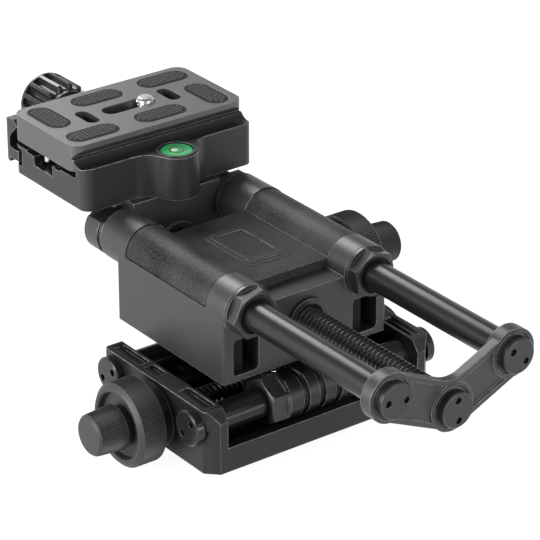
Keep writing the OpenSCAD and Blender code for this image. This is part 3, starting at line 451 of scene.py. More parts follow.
class Form:
    """Points and faces of one piece, collected before the mesh is made."""

    def __init__(self) -> None:
        """Starts with nothing."""
        self.points: list[Vector] = []
        self.faces: list[tuple[int, ...]] = []

    def row(self, points: Iterable[Vector]) -> list[int]:
        """Adds points and gives their numbers.

        Args:
            points: The new points.

        Returns:
            Their numbers, in order.
        """
        first = len(self.points)
        self.points += points
        return list(range(first, len(self.points)))

    def wall(self, low: list[int], high: list[int]) -> None:
        """Joins two rings of points with faces, which are triangles where corners fall together.

        Args:
            low: The lower ring.
            high: The upper ring.
        """
        for step in range(len(low)):
            after = (step + 1) % len(low)
            face = tuple(dict.fromkeys((low[step], low[after], high[after], high[step])))
            if len(face) > 2:
                self.faces.append(face)

    def shell(self, rings: list[list[int]]) -> "Form":
        """Joins rings one to the next and closes both ends.

        Args:
            rings: The rings, from the lowest to the highest.

        Returns:
            This form.
        """
        for low, high in zip(rings, rings[1:]):
            self.wall(low, high)
        self.faces += [tuple(reversed(rings[0])), tuple(rings[-1])]
        return self

    def turn(self, profile: Profile, steps: int, cut: Valley | None = None, closed: bool = False) -> "Form":
        """Adds a body of revolution round +Z, whose ridges follow cut.

        Args:
            profile: Radius and height of each ring, and how deep its valleys go where it has any.
            steps: Points of a ring.
            cut: The valley's share at an angle in turns, 0 on a ridge and 1 in a valley.
            closed: Whether the last ring joins the first, round a bore.

        Returns:
            This form.
        """
        rings = []
        for radius, height, *depth in profile:
            if radius < TINY:
                rings.append(self.row([Vector((0, 0, height))]) * steps)
                continue
            points = []
            for step in range(steps):
                deep = depth[0] * cut(step / steps) if cut and depth else 0.0
                points.append(Vector((*polar(radius - deep, step / steps * math.tau), height)))
            rings.append(self.row(points))
        for low, high in zip(rings, rings[1:] + rings[:1] if closed else rings[1:]):
            self.wall(low, high)
        return self

    def thread(self, span: Pair, crest: float, root: float, pitch: float, steps: int = 40) -> "Form":
        """Adds a closed threaded bar round +Z, in millimetres.

        Args:
            span: Heights of its two ends.
            crest: Radius of the thread's crest.
            root: Radius between the turns.
            pitch: Rise of one turn.
            steps: Points of a ring.

        Returns:
            This form.
        """
        start, end = span
        rows = []
        for turn in range(math.floor(start / pitch) - 1, math.ceil(end / pitch) + 2):
            for share, rise in THREAD_SHAPE:
                points = []
                for step in range(steps):
                    height = (turn + share + step / steps) * pitch
                    held = min(max(height, start), end)
                    radius = root + rise * (crest - root) if held == height else root
                    points.append(Vector((*polar(radius, step / steps * math.tau), held)))
                rows.append(self.row(points))
        width = len(THREAD_SHAPE)
        for index, (row, above) in enumerate(zip(rows, rows[1:])):
            for step in range(steps - 1):
                self.faces.append((row[step], row[step + 1], above[step + 1], above[step]))
            if index + width + 1 < len(rows):
                self.faces.append((row[-1], rows[index + width][0], rows[index + width + 1][0], above[-1]))
        return self

    def prism(self, outline: Outline, low: float, high: float, bevel: float) -> "Form":
        """Adds an upright plate with a bevelled top edge.

        Args:
            outline: Corners of the plate, anticlockwise.
            low: Height of its underside.
            high: Height of its top.
            bevel: Width of the bevel.

        Returns:
            This form.
        """
        middle = Vector((sum(p[0] for p in outline), sum(p[1] for p in outline))) / len(outline)
        arms = [Vector(corner) - middle for corner in outline]
        return self.shell([
            self.row(Vector((*(middle + arm * (1 - inset / arm.length)), height)) for arm in arms)
            for height, inset in ((low, 0.0), (high - bevel, 0.0), (high, bevel))])

    def sweep(self, outline: Outline, axis: Axis, span: Pair) -> "Form":
        """Adds an outline made solid along an axis.

        Args:
            outline: Corners in the plane square to the axis.
            axis: The axis.
            span: The two ends on the axis.

        Returns:
            This form.
        """
        rings = []
        for height in span:
            points = []
            for corner in outline:
                places = dict(zip(axis.value, (*corner, height)))
                points.append(Vector((places[0], places[1], places[2])))
            rings.append(self.row(points))
        return self.shell(rings)

    def place(self, matrix: Matrix) -> "Form":
        """Moves every point by the matrix."""
        self.points = [matrix @ point for point in self.points]
        return self

    def join(self, other: "Form") -> "Form":
        """Adds another form's points and faces.

        Args:
            other: The other form.

        Returns:
            This form.
        """
        base = len(self.points)
        self.points += other.points
        self.faces += [tuple(base + index for index in face) for face in other.faces]
        return self

    def mesh(self, name: str) -> Mesh:
        """Makes the closed mesh of these points and faces, in metres.

        Args:
            name: The mesh's name.

        Returns:
            The mesh.
        """
        mesh = bpy.data.meshes.new(name)
        mesh.from_pydata([point * MM for point in self.points], [], self.faces)
        cleaned(mesh)
        return mesh

    def piece(self, name: str, finish: Finish, sharp: float = 38.0) -> Piece:
        """Makes the dressed piece, with edges sharp that turn by more degrees than sharp."""
        return finished(name, shaded(self.mesh(name), sharp), finish)


def cleaned(mesh: Mesh) -> None:
    """Joins a mesh's doubled points and turns its faces outwards.

    Args:
        mesh: The mesh, in metres.
    """
    work = bmesh.new()
    work.from_mesh(mesh)
    bmesh.ops.remove_doubles(work, verts=work.verts, dist=2 * TINY)
    bmesh.ops.dissolve_degenerate(work, dist=TINY, edges=work.edges)
    bmesh.ops.delete(work, geom=[v for v in work.verts if not v.link_faces], context="VERTS")
    bmesh.ops.recalc_face_normals(work, faces=work.faces)
    work.to_mesh(mesh)
    work.free()


def shaded(mesh: Mesh, sharp: float) -> Mesh:
    """Shades a mesh smooth but for its sharp edges.

    Args:
        mesh: The mesh.
        sharp: Edges that turn by more degrees than this stay sharp.

    Returns:
        The same mesh.
    """
    mesh.shade_smooth()
    mesh.set_sharp_from_angle(angle=math.radians(sharp))
    return mesh


def linked(name: str, data: bpy.types.ID) -> Piece:
    """Makes an object and links it into the scene.

    Args:
        name: The object's name.
        data: Its mesh, camera or light.

    Returns:
        The object.
    """
    made = bpy.data.objects.new(name, data)
    bpy.context.scene.collection.objects.link(made)
    return made


def applied(body: Piece, *tools: Piece) -> Mesh:
    """The mesh of a body after its modifiers, for which the body and its tools are used up.

    Args:
        body: The object with modifiers.
        tools: The objects that they use.

    Returns:
        The new mesh.
    """
    graph = bpy.context.evaluated_depsgraph_get()
    mesh = bpy.data.meshes.new_from_object(body.evaluated_get(graph))
    for used in (body, *tools):
        bpy.data.objects.remove(used)
    return mesh


def finished(name: str, mesh: Mesh, finish: Finish) -> Piece:
    """Makes a piece of a shaded mesh, in its finish.

    Args:
        name: The piece's name.
        mesh: Its mesh, in metres.
        finish: Its finish.

    Returns:
        The object.
    """
    made = linked(name, mesh)
    finish.dress(made)
    return made


class Blank:
    """A closed mesh on the bench, which others are joined to or cut from."""

    def __init__(self, start: Form | str) -> None:
        """Starts from a form, or from a copy of a CAD node's mesh.

        Args:
            start: The form, or the node's name.
        """
        if isinstance(start, Form):
            self.mesh = start.mesh("blank")
        else:
            self.mesh = frame["nodes"][start].data.copy()
            self.mesh.materials.clear()
            cleaned(self.mesh)

    def join(self, *others: "Form | Blank") -> "Blank":
        """Joins others to this one."""
        return self.work("UNION", others)

    def cut(self, *others: "Form | Blank") -> "Blank":
        """Cuts others out of this one."""
        return self.work("DIFFERENCE", others)

    def work(self, operation: str, others: "tuple[Form | Blank, ...]") -> "Blank":
        """Joins or cuts one after another.

        Args:
            operation: The name of the operation.
            others: The forms or blanks that it takes.

        Returns:
            This blank.
        """
        body = linked("blank", self.mesh)
        tools = []
        for other in others:
            tools.append(linked("tool", other.mesh("tool") if isinstance(other, Form) else other.mesh))
            step = body.modifiers.new("step", "BOOLEAN")
            step.object, step.operation, step.solver = tools[-1], operation, "EXACT"
        self.mesh = applied(body, *tools)
        return self

    def piece(self, name: str, finish: Finish) -> Piece:
        """Makes the piece, with its flat faces shaded flat.

        Args:
            name: The piece's name.
            finish: Its finish.

        Returns:
            The object.
        """
        work = bmesh.new()
        work.from_mesh(self.mesh)
        bmesh.ops.remove_doubles(work, verts=work.verts, dist=TINY)
        bmesh.ops.dissolve_limit(
            work, angle_limit=math.radians(LEVEL_WITHIN), verts=work.verts, edges=work.edges,
            use_dissolve_boundaries=False)
        bmesh.ops.recalc_face_normals(work, faces=work.faces)
        work.to_mesh(self.mesh)
        work.free()
        scratch = linked("scratch", shaded(self.mesh, FLAT))
        scratch.modifiers.new("step", "WEIGHTED_NORMAL").keep_sharp = True
        return finished(name, applied(scratch), finish)


def slab(x: Pair, y: Pair, z: Pair) -> Form:
    """A box between two limits on each axis."""
    return Form().sweep([(x[0], y[0]), (x[1], y[0]), (x[1], y[1]), (x[0], y[1])], Axis.Z, z)


def bar(axis: Axis, span: Pair, at: Pair, radius: float, steps: int = 96) -> Form:
    """A round bar along an axis, through the point at."""
    turns = [math.tau * (step + 0.5) / steps for step in range(steps)]
    return Form().sweep([polar(radius, turn, at) for turn in turns], axis, span)


def ring(axis: Axis, span: Pair, at: Pair, radius: float, bore: float) -> Blank:
    """A round ring along an axis."""
    return Blank(bar(axis, span, at, radius)).cut(bar(axis, (span[0] - 1, span[1] + 1), at, bore))


def soft_rect(middle: Pair, size: Pair, radius: float, steps: int = 6) -> Outline:
    """The outline of a rectangle with rounded corners.

    Args:
        middle: Its middle.
        size: Its two sides.
        radius: The radius of its corners.
        steps: Steps of a corner.

    Returns:
        The outline, anticlockwise.
    """
    made = []
    for quarter, (x, y) in enumerate(((1, 1), (-1, 1), (-1, -1), (1, -1))):
        corner = (middle[0] + x * (size[0] / 2 - radius), middle[1] + y * (size[1] / 2 - radius))
        made += [polar(radius, math.pi / 2 * (quarter + step / steps), corner) for step in range(steps + 1)]
    return made


def rounded(corners: Profile, radius: float, closed: bool = False) -> Profile:
    """Rounds the corners of a profile.

    Args:
        corners: Radius and height of each corner, and the depth of its valleys where it has any.
        radius: The rounding, held to a third of the shorter side.
        closed: Whether the profile is a loop.

    Returns:
        The finer profile.
    """
    made: Profile = []
    for index, (r, h, *depth) in enumerate(corners):
        end = not closed and index in (0, len(corners) - 1)
        if end or r < TINY:
            made.append((r, h, *depth))
            continue
        here = Vector((r, h))
        before = Vector(corners[index - 1][:2]) - here
        after = Vector(corners[(index + 1) % len(corners)][:2]) - here
        reach = min(radius, before.length / 3, after.length / 3)
        a, b = here + before.normalized() * reach, here + after.normalized() * reach
        for share in (0.0, 0.3, 0.7, 1.0):
            point = a * (1 - share) ** 2 + here * 2 * share * (1 - share) + b * share ** 2
            made.append((*point, *depth))
    return made


def seat(node: str, way: Way) -> tuple[Matrix, float, float]:
    """Where a round CAD node sits and how big it is.

    Args:
        node: The CAD node's name.
        way: The direction in which the piece grows.

    Returns:
        The matrix from a form's +Z to the place, in millimetres, then length and radius.
    """
    low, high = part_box(node)
    along = Vector(way.value)
    middle, size = (low + high) / 2 / MM, (high - low) / MM
    length = abs(size.dot(along))
    radius = max(size[k] for k in range(3) if abs(along[k]) < 0.5) / 2
    turn = Vector((0, 0, 1)).rotation_difference(along).to_matrix().to_4x4()
    return Matrix.Translation(middle - along * length / 2) @ turn, length, radius


def carry(piece: Piece, node: str) -> Piece:
    """Lets a piece ride on the body that carries a CAD node.

    Args:
        piece: The finished piece.
        node: The CAD node's name.

    Returns:
        The piece.
    """
    bodies = frame["record"]["behaviour"]["bodies"]
    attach(piece, next(body for body, nodes in bodies.items() if node in nodes))
    LOG.info("%s rides with %s, %d faces", piece.name, node, len(piece.data.polygons))
    return piece


def stand_for(piece: Piece, node: str) -> None:
    """Lets a finished piece take the place of a CAD node on its body."""
    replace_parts(carry(piece, node), node)
    LOG.info("%s stands for %s", piece.name, node)


def finish_nodes(finish: Finish, *nodes: str) -> None:
    """Puts one finish on CAD nodes that keep their own meshes.

    Args:
        finish: The finish.
        nodes: The nodes' names.
    """
    for node in nodes:
        finish.dress(frame["nodes"][node])
        LOG.info("%s is finished in %s", node, finish.name)


def drill_cap(caps: Blank, axis: Axis, middle: Pair, turn: float, face: float, way: int) -> None:
    """Drills the two holes of one end cap.

    Args:
        caps: The caps.
        axis: The axis of their rods.
        middle: The cap's middle in the plane square to the axis.
        turn: The direction of the line through both holes, in degrees.
        face: Where the cap's face is on the axis.
        way: -1 or 1, the way along the axis in which the face looks.
    """
    for reach in (-CAP_HOLE_OUT, CAP_HOLE_OUT):
        spot = polar(reach, math.radians(turn), middle)
        caps.cut(bar(axis, between(face + way, face - way * CAP_HOLE_D), spot, CAP_HOLE_R, 32))


@dataclass
class KnurledKnobs:
    """An adjusting knob with a dished face and the lock knob that stands in it."""

    way: Way
    adjust_node: str
    lock_node: str
    shaft_r: float
    tooth: float = 0.92
    tooth_steps: int = 6
    depth: float = 0.46
    dish_r: float = 11.3
    dish_d: float = 2.5
    lock_root_r: float = 7.8
    lock_end_r: float = 7.1
    lock_bore_d: float = 2.8
    lock_longer: float = 0.0

    def build(self) -> None:
        """Builds and dresses both knobs."""
        self.adjusting()
        self.locking()

    def knurled(self, node: str, corners: Profile, radius: float, soft: float, closed: bool) -> None:
        """Turns and knurls a knob that stands for a node.

        Args:
            node: The CAD node.
            corners: The knob's profile.
            radius: The radius that sets the number of teeth.
            soft: The rounding of its corners.
            closed: Whether the profile is a loop.
        """
        teeth = round(math.tau * radius / self.tooth)
        form = Form().turn(
            rounded(corners, soft, closed), teeth * self.tooth_steps,
            lambda turn: 0.5 - 0.5 * math.cos(turn * teeth * math.tau), closed)
        form.place(seat(node, self.way)[0])
        stand_for(form.piece(node + "_knurled", KNOB_BLACK), node)

    def adjusting(self) -> None:
        """Builds the knob with its knurled rim and dish."""
        _, length, radius = seat(self.adjust_node, self.way)
        bore, dish, floor, deep = self.shaft_r + 0.02, self.dish_r, length - self.dish_d, self.depth
        self.knurled(self.adjust_node, [
            (bore, 0.0), (radius - 0.9, 0.0), (radius - 0.12, 0.7), (radius, 1.0, deep),
            (radius, length - 1.6, deep), (radius - 0.2, length - 1.3), (radius - 1.6, length),
            (dish + 0.5, length), (dish, length - 0.5), (dish - 0.3, floor),
            (self.lock_root_r + 1.6, floor - 0.1), (bore, floor - 0.1)], radius, 0.25, True)

    def locking(self) -> None:
        """Builds the lock knob, which narrows towards its end."""
        _, solid, _ = seat(self.lock_node, self.way)
        length, floor = solid + self.lock_longer, solid - self.lock_bore_d
        bore, root, end, neck = self.shaft_r + 0.05, self.lock_root_r, self.lock_end_r, self.dish_d - 0.7
        self.knurled(self.lock_node, [
            (0.0, floor), (bore, floor), (bore, 0.0), (root - 1.2, 0.0), (root - 1.2, neck),
            (root - 0.1, neck + 0.6), (root, neck + 0.9, self.depth), (end, length - 1.1, self.depth),
            (end - 0.15, length - 0.8), (end - 0.9, length), (0.0, length)], root, 0.2, False)


@dataclass
class LeadScrew:
    """A threaded spindle with plain ends in its bearings."""

    node: str
    way: Way
    pitch: float
    depth: float
    threaded: Pair

    def build(self) -> None:
        """Builds the spindle: plain, threaded, plain."""
        matrix, length, radius = seat(self.node, self.way)
        core = radius - self.depth
        form = Form().thread(self.threaded, radius, core, self.pitch)
        for low, high in ((0.0, self.threaded[0]), (self.threaded[1], length)):
            form.join(Form().turn(rounded([(0.0, low), (core, low), (core, high), (0.0, high)], 0.3), 40))
        stand_for(form.place(matrix).piece(self.node + "_threaded", SCREW_BLACK, 60.0), self.node)


@dataclass
class CrossStage:
    """The base with its cross rods, screw and carriage."""

    rod_y: float = 22.55
    rod_z: float = 15.3
    rod_r: float = 5.0
    base_top: float = 22.4
    filled_x: tuple[Pair, Pair] = ((-43.5, -40.3), (42.0, 45.0))
    filled_y: tuple[tuple[Pair, Pair], ...] = (((1.1, 28.2), (-26.2, -10.6)), ((6.0, 26.2), (-26.2, -6.0)))
    filled_from: float = 20.6
    plate_in: float = 39.0
    pocket_y: tuple[Pair, ...] = ((-25.9, -11.0), (1.2, 8.6), (11.0, 25.9))
    pocket_steps: tuple[tuple[float, float, float], ...] = ((3.0, 4.0, 0.5), (1.95, 1.9, 1.5))
    housing_half: float = 13.0
    housing_r: float = 8.196
    ring_step: float = 6.6
    ring_gap: float = 2.4
    ring_d: float = 1.3
    flat_d: float = 0.9
    flat_y: Pair = (14.0, 32.0)
    pin_at: Place = (-11.6, -19.2, 22.35)

    def build(self) -> None:
        """Dresses the base, the rods and the carriage."""
        finish_nodes(CAST_BLACK, "lower_screw_end_cap")
        finish_nodes(NUT_BLACK, "lower_gland_nuts")
        self.base()
        self.housings()
        self.caps()
        finish_nodes(replace(ROD_BLACK, turned=turned_on("lower_guide_rods", Way.RIGHT)), "lower_guide_rods")
        finish_nodes(BEARING_BRONZE, "lower_screw_bushes", "lower_rod_bushes", "lower_drive_nut")
        finish_nodes(RUBBER_BLACK, "lower_rod_wipers")
        finish_nodes(BRIGHT_ZINC, "carriage_bolts")
        LeadScrew("lower_lead_screw", Way.RIGHT, 2.0, 0.75, (24.0, 112.0)).build()
        KnurledKnobs(Way.LEFT, "lower_adjust_knob", "lower_lock_knob", 3.5).build()
        self.index_pin()

    def base(self) -> None:
        """Builds the base with the stepped pockets in the tops of its end plates."""
        top = self.base_top
        base = Blank("base_frame").join(*(
            slab(x, y, (self.filled_from, top + 0.005))
            for x, spans in zip(self.filled_x, self.filled_y) for y in spans))
        for side in (-1, 1):
            for near, far in self.pocket_y:
                base.cut(*(
                    Form().sweep(
                        soft_rect((side * (self.plate_in + out), (near + far) / 2), (width, far - near), 0.5),
                        Axis.Z, (top - deep, top + 1.0))
                    for out, width, deep in self.pocket_steps))
        stand_for(base.piece("base_frame_pocketed", BASE_BLACK), "base_frame")

    def housings(self) -> None:
        """Builds the carriage with four rings on each housing."""
        half, z, out = self.housing_half, self.rod_z, self.housing_r + 0.02
        carriage = Blank("lower_carriage")
        for side in (-1, 1):
            at = (side * self.rod_y, z)
            carriage.join(ring(Axis.X, (-half, half), at, out, self.rod_r + 1.05))
            for x in (-self.ring_step, 0.0, self.ring_step):
                span = (x - self.ring_gap / 2, x + self.ring_gap / 2)
                carriage.cut(ring(Axis.X, span, at, out + 1, self.housing_r - self.ring_d))
        flat, (near, far) = z + self.housing_r - self.flat_d, self.flat_y
        carriage.cut(*(
            slab((-half - 1, half + 1), between(side * near, side * far), (flat, flat + 4))
            for side in (-1, 1)))
        stand_for(carriage.piece("lower_carriage_ringed", BASE_BLACK), "lower_carriage")

    def caps(self) -> None:
        """Builds the rods' end caps with their two holes."""
        low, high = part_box("lower_rod_caps")
        caps = Blank("lower_rod_caps")
        for side, left, right in ((-1, -45, -130), (1, -35, -50)):
            middle = (side * self.rod_y, self.rod_z)
            drill_cap(caps, Axis.X, middle, left, low.x / MM, -1)
            drill_cap(caps, Axis.X, middle, right, high.x / MM, 1)
        stand_for(caps.piece("lower_rod_caps_drilled", CAP_BLACK), "lower_rod_caps")

    def index_pin(self) -> None:
        """Adds the small bright pin on the carriage's near housing."""
        corners = [(0.0, 0.0), (0.75, 0.0), (0.75, 0.7), (0.45, 1.0), (0.0, 1.08)]
        pin = Form().turn(rounded(corners, 0.2), 24).place(Matrix.Translation(self.pin_at))
        carry(pin.piece("carriage_index_pin", BRIGHT_ZINC), "lower_carriage")


@dataclass
class FocusStage:
    """The body, its cover and drive, and the sliding frame of rods and brackets."""

    rod_x: float = 24.25
    rod_z: float = 50.0
    rod_r: float = 5.0
    screw_z: float = 39.0
    tube_r: float = 9.0
    seam_z: Pair = (49.3, 49.56)
    seam_half: float = 0.14
    seam_arc: tuple[int, int] = (-4, 124)
    seam_deep: float = 0.6
    seam_proud: float = 0.012
    window_w: float = 10.1
    window_wall: Pair = (-0.4, 5.7)
    window_y: Pair = (-18.26, 1.9)
    window_z: Pair = (26.8, 40.3)
    lobe_t: float = 4.5
    lobe_r: float = 8.4
    arm_t: float = 3.2
    arm_half: float = 7.8
    valley_r: float = 10.0
    rim_w: float = 1.8
    rim_d: float = 0.8
    cap_r: float = 6.1
    cap_turns: tuple[float, float, float] = (-5, -86, -40)
    rear_half: float = 36.0
    rear_z: Pair = (55.15, 60.0)
    rear_back: float = 58.7
    shelf_half: float = 17.9

    def build(self) -> None:
        """Dresses the body and the slide, and builds the screw and the knobs."""
        finish_nodes(CAST_BLACK, "main_body")
        finish_nodes(POWDER_BLACK, "top_cover")
        finish_nodes(NUT_BLACK, "front_gland_nuts", "screw_collar")
        self.window_walls()
        self.seams()
        self.front_bracket()
        self.rear_bracket()
        self.caps("front_bracket_caps", -1)
        self.caps("rear_bracket_caps", 1)
        finish_nodes(RUBBER_BLACK, "front_rod_wipers")
        finish_nodes(BEARING_BRONZE, "upper_rod_bushes", "rotating_nut", "shaft_bush")
        finish_nodes(
            BRIGHT_ZINC, "nut_bearing", "nut_bevel_gear", "drive_bevel_pinion", "drive_shaft", "clamp_bolts")
        finish_nodes(replace(
            ROD_BLACK, name="satin_long_rods", slot="black_anodised", roughness=0.3, drift=0.25,
            grain=3000.0, grain_depth=0.003, turned=turned_on("upper_guide_rods", Way.REAR)),
            "upper_guide_rods")
        LeadScrew("focus_lead_screw", Way.REAR, 2.0, 1.05, (5.6, 146.0)).build()
        KnurledKnobs(Way.RIGHT, "upper_adjust_knob", "upper_lock_knob", 3.0, lock_longer=1.8).build()

    def window_walls(self) -> None:
        """Adds the inner walls that close the left half of the two front windows, near-black as painted shade
        in the recess.
        """
        form = Form()
        for side in (-1, 1):
            left = side * self.rod_x - self.window_w / 2
            x = (left + self.window_wall[0], left + self.window_wall[1])
            form.join(slab(x, self.window_y, self.window_z))
        carry(form.piece("window_inner_walls", PAINTED_SHADE_BLACK, FLAT), "main_body")

    def seams(self) -> None:
        """Adds the dark gasket line round the textured cover."""
        low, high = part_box("top_cover")
        ends, tube, half = (low.y / MM, high.y / MM), (self.rod_x, self.rod_z), self.seam_half
        outer, inner = self.tube_r + self.seam_proud, self.tube_r - self.seam_deep
        turns = [math.radians(angle) for angle in range(*self.seam_arc, 2)]
        arc = [polar(outer, t, tube) for t in turns] + [polar(inner, t, tube) for t in reversed(turns)]
        seam = Form()
        for side in (-1, 1):
            x = between(side * (self.rod_x + outer), side * (self.rod_x + inner))
            seam.join(slab(x, ends, self.seam_z))
            for y in ends:
                seam.join(Form().sweep([(side * x, z) for x, z in arc], Axis.Y, (y - half, y + half)))
        carry(seam.piece("cover_gasket", RUBBER_BLACK, FLAT), "top_cover")

    def lobes(self) -> list[Pair]:
        """The middles of a bracket's three lobes, in X and Z."""
        return [(-self.rod_x, self.rod_z), (0.0, self.screw_z), (self.rod_x, self.rod_z)]

    def arms(self, span: Pair, inset: float) -> Blank:
        """The front bracket's two arms with their rounded valley.

        Args:
            span: The two ends along Y.
            inset: How far the outline is moved in.

        Returns:
            The arms as a blank.
        """
        left, middle, right = (Vector(lobe) for lobe in self.lobes())
        line = middle - left
        down = Vector((line.y, -line.x)).normalized()
        mirror = Vector((-down.x, down.y))
        half, arc_r = self.arm_half - inset, self.valley_r + inset
        centre = Vector((0, middle.y + (self.arm_half + self.valley_r) * line.length / line.x))
        touch, top = centre + arc_r * down, left - half * down
        outline = [touch, (-touch.x, touch.y), (-top.x, top.y), right + half * mirror,
                   middle + half * mirror, middle + half * down, left + half * down, top]
        return Blank(Form().sweep([tuple(point) for point in outline], Axis.Y, span)).cut(
            bar(Axis.Y, (span[0] - 1, span[1] + 1), tuple(centre), arc_r, 160))

    def front_bracket(self) -> None:
        """Builds the bracket that joins the rods and the screw in front."""
        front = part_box("front_bracket")[0].y / MM
        back = front + self.lobe_t
        floor, through = (front - 1.0, front + self.rim_d), (front - 2.0, back + 2.0)
        bracket, panel = self.arms((front, front + self.arm_t), 0.0), self.arms(floor, self.rim_w)
        bracket.join(*(bar(Axis.Y, (front, back), lobe, self.lobe_r) for lobe in self.lobes()))
        panel.cut(*(bar(Axis.Y, through, lobe, self.lobe_r) for lobe in self.lobes()))
        bracket.cut(panel)
        bracket.cut(*(ring(Axis.Y, floor, lobe, self.cap_r + 1.0, self.cap_r) for lobe in self.lobes()))
        bracket.cut(*(bar(Axis.Y, through, lobe, self.rod_r + 0.02) for lobe in self.lobes()))
        stand_for(bracket.piece("front_bracket_ribbed", CAST_BLACK), "front_bracket")

    def rear_bracket(self) -> None:
        """Builds the rear bracket, lower beside the shelf that carries the clamp."""
        y = (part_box("rear_bracket")[0].y / MM - 1, self.rear_back + 1)
        bracket = Blank("rear_bracket").cut(*(
            slab(between(side * self.rear_half, side * self.shelf_half), y, self.rear_z) for side in (-1, 1)))
        stand_for(bracket.piece("rear_bracket_low", CAST_BLACK), "rear_bracket")

    def caps(self, node: str, way: int) -> None:
        """Builds three end caps with their two holes.

        Args:
            node: The CAD node of the caps.
            way: -1 where they face the front, 1 where they face the rear.
        """
        low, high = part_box(node)
        caps = Blank(node)
        for lobe, turn in zip(self.lobes(), self.cap_turns):
            drill_cap(caps, Axis.Y, lobe, -way * turn, (low if way < 0 else high).y / MM, way)
        stand_for(caps.piece(node + "_drilled", NUT_BLACK), node)


@dataclass
class ClampStage:
    """The clamp with its level, jaw and fluted knob."""

    flutes: int = 14
    flute_steps: int = 14
    flute_depth: float = 2.0
    flute_half: float = 0.33
    neck_r: float = 6.0
    neck_l: float = 12.5
    bore: Pair = (3.02, 2.9)
    cove_at: Pair = (57.65, 77.62)
    cove_r: float = 4.6
    past_sides: float = 40.0
    jaw_round: Pair = (3.0, 3.6)
    shade_x: Pair = (14.5, 32.6)
    shade_y: Pair = (84.6, 85.8)
    shade_z: Pair = (60.0, 66.0)

    def build(self) -> None:
        """Dresses the clamp and builds its knob and level."""
        self.jaw()
        cove = bar(Axis.X, (-self.past_sides, self.past_sides), self.cove_at, self.cove_r, 120)
        stand_for(Blank("clamp_body").cut(cove).piece("clamp_body_coved", CLAMP_BLACK), "clamp_body")
        finish_nodes(NUT_BLACK, "level_rim", "jaw_guide_pins")
        self.shades()
        finish_nodes(BRIGHT_ZINC, "clamp_screw", "clamp_knob_washer")
        self.knob()
        BubbleLevel().build()

    def shades(self) -> None:
        """Adds two near-black walls of painted shade between the clamp's channel and the hollows behind it.
        """
        form, (near, far) = Form(), self.shade_x
        for side in (-1, 1):
            form.join(slab(between(side * near, side * far), self.shade_y, self.shade_z))
        carry(form.piece("clamp_painted_shade_walls", PAINTED_SHADE_BLACK, FLAT), "clamp_body")

    def jaw(self) -> None:
        """Rounds the jaw's two long edges at the rear."""
        low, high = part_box("clamp_jaw")
        rear, side, blank = high.y / MM, self.past_sides, Blank("clamp_jaw")
        for edge, r, way in ((high.z / MM, self.jaw_round[0], 1), (low.z / MM, self.jaw_round[1], -1)):
            middle = (rear - r, edge - way * r)
            corner = slab((-side, side), (middle[0], rear + 1), between(middle[1], edge + way))
            blank.cut(Blank(corner).cut(bar(Axis.X, (-side - 1, side + 1), middle, r)))
        stand_for(blank.piece("clamp_jaw_rounded", CLAMP_BLACK), "clamp_jaw")

    def flute(self, turn: float) -> float:
        """The flute's share of its depth at an angle in turns.

        Args:
            turn: The angle.

        Returns:
            The share, 0 on a ridge and 1 in a flute.
        """
        edge = min(abs((turn * self.flutes) % 1.0 - 0.5) / self.flute_half, 1.0)
        return (1 - edge ** 3) ** 0.6 if edge < 1 else 0.0

    def knob(self) -> None:
        """Builds the clamp's knob, with flutes along a grip that stands on a neck."""
        matrix, length, radius = seat("clamp_knob", Way.REAR)
        neck, low, deep, (bore, bore_end) = self.neck_r, self.neck_l, self.flute_depth, self.bore
        collar, steps, floor = radius - deep, self.flutes * self.flute_steps, length - bore_end
        form = Form().turn(rounded([
            (bore, 0.0), (neck, 0.0), (neck, low - 2.2), (collar - 0.4, low - 2.2),
            (collar, low - 1.8), (collar, low - 0.05), (radius - 0.9, low, deep - 0.9),
            (radius, low + 0.9, deep), (radius, length - 1.7, deep), (radius - 0.1, length - 1.4),
            (radius - 0.1, length - 0.5), (radius - 0.6, length), (radius - 3.0, length),
            (radius - 3.2, length - 0.7), (0.0, length - 0.7)], 0.4), steps, self.flute)
        form.turn([(bore, 0.0), (bore, floor), (0.0, floor)], steps)
        stand_for(form.place(matrix).piece("clamp_knob_fluted", GRIP_BLACK), "clamp_knob")


@dataclass
class BubbleLevel:
    """The round level in the tower: liquid, printed ring and bubble."""

    ring_r: float = 2.3
    ring_w: float = 0.32
    bubble_r: float = 1.25
    bubble_at: Place = (-0.5, 0.3, 0.0)

    def build(self) -> None:
        """Builds the level in place of its CAD solid."""
        matrix, top, radius = seat("level_vial", Way.UP)
        liquid = Form().turn(rounded([
            (0.0, 0.0), (radius - 0.3, 0.0), (radius, 0.3), (radius, top - 0.5),
            (radius - 0.5, top - 0.12), (0.0, top)], 0.3), 64)
        stand_for(liquid.place(matrix).piece("level_liquid", LEVEL_GREEN), "level_vial")
        inner, outer = self.ring_r, self.ring_r + self.ring_w
        mark = Form().turn(
            [(inner, top), (outer, top), (outer, top + 0.06), (inner, top + 0.07)], 64, closed=True)
        carry(mark.place(matrix).piece("level_ring", LEVEL_RING), "level_vial")
        wide = self.bubble_r
        drop = Form().turn([
            (0.0, top - 0.3), (wide, top - 0.1), (wide * 0.94, top + 0.08), (wide * 0.6, top + 0.16),
            (0.0, top + 0.2)], 40).place(matrix @ Matrix.Translation(self.bubble_at))
        carry(drop.piece("level_bubble", LEVEL_BUBBLE), "level_vial")


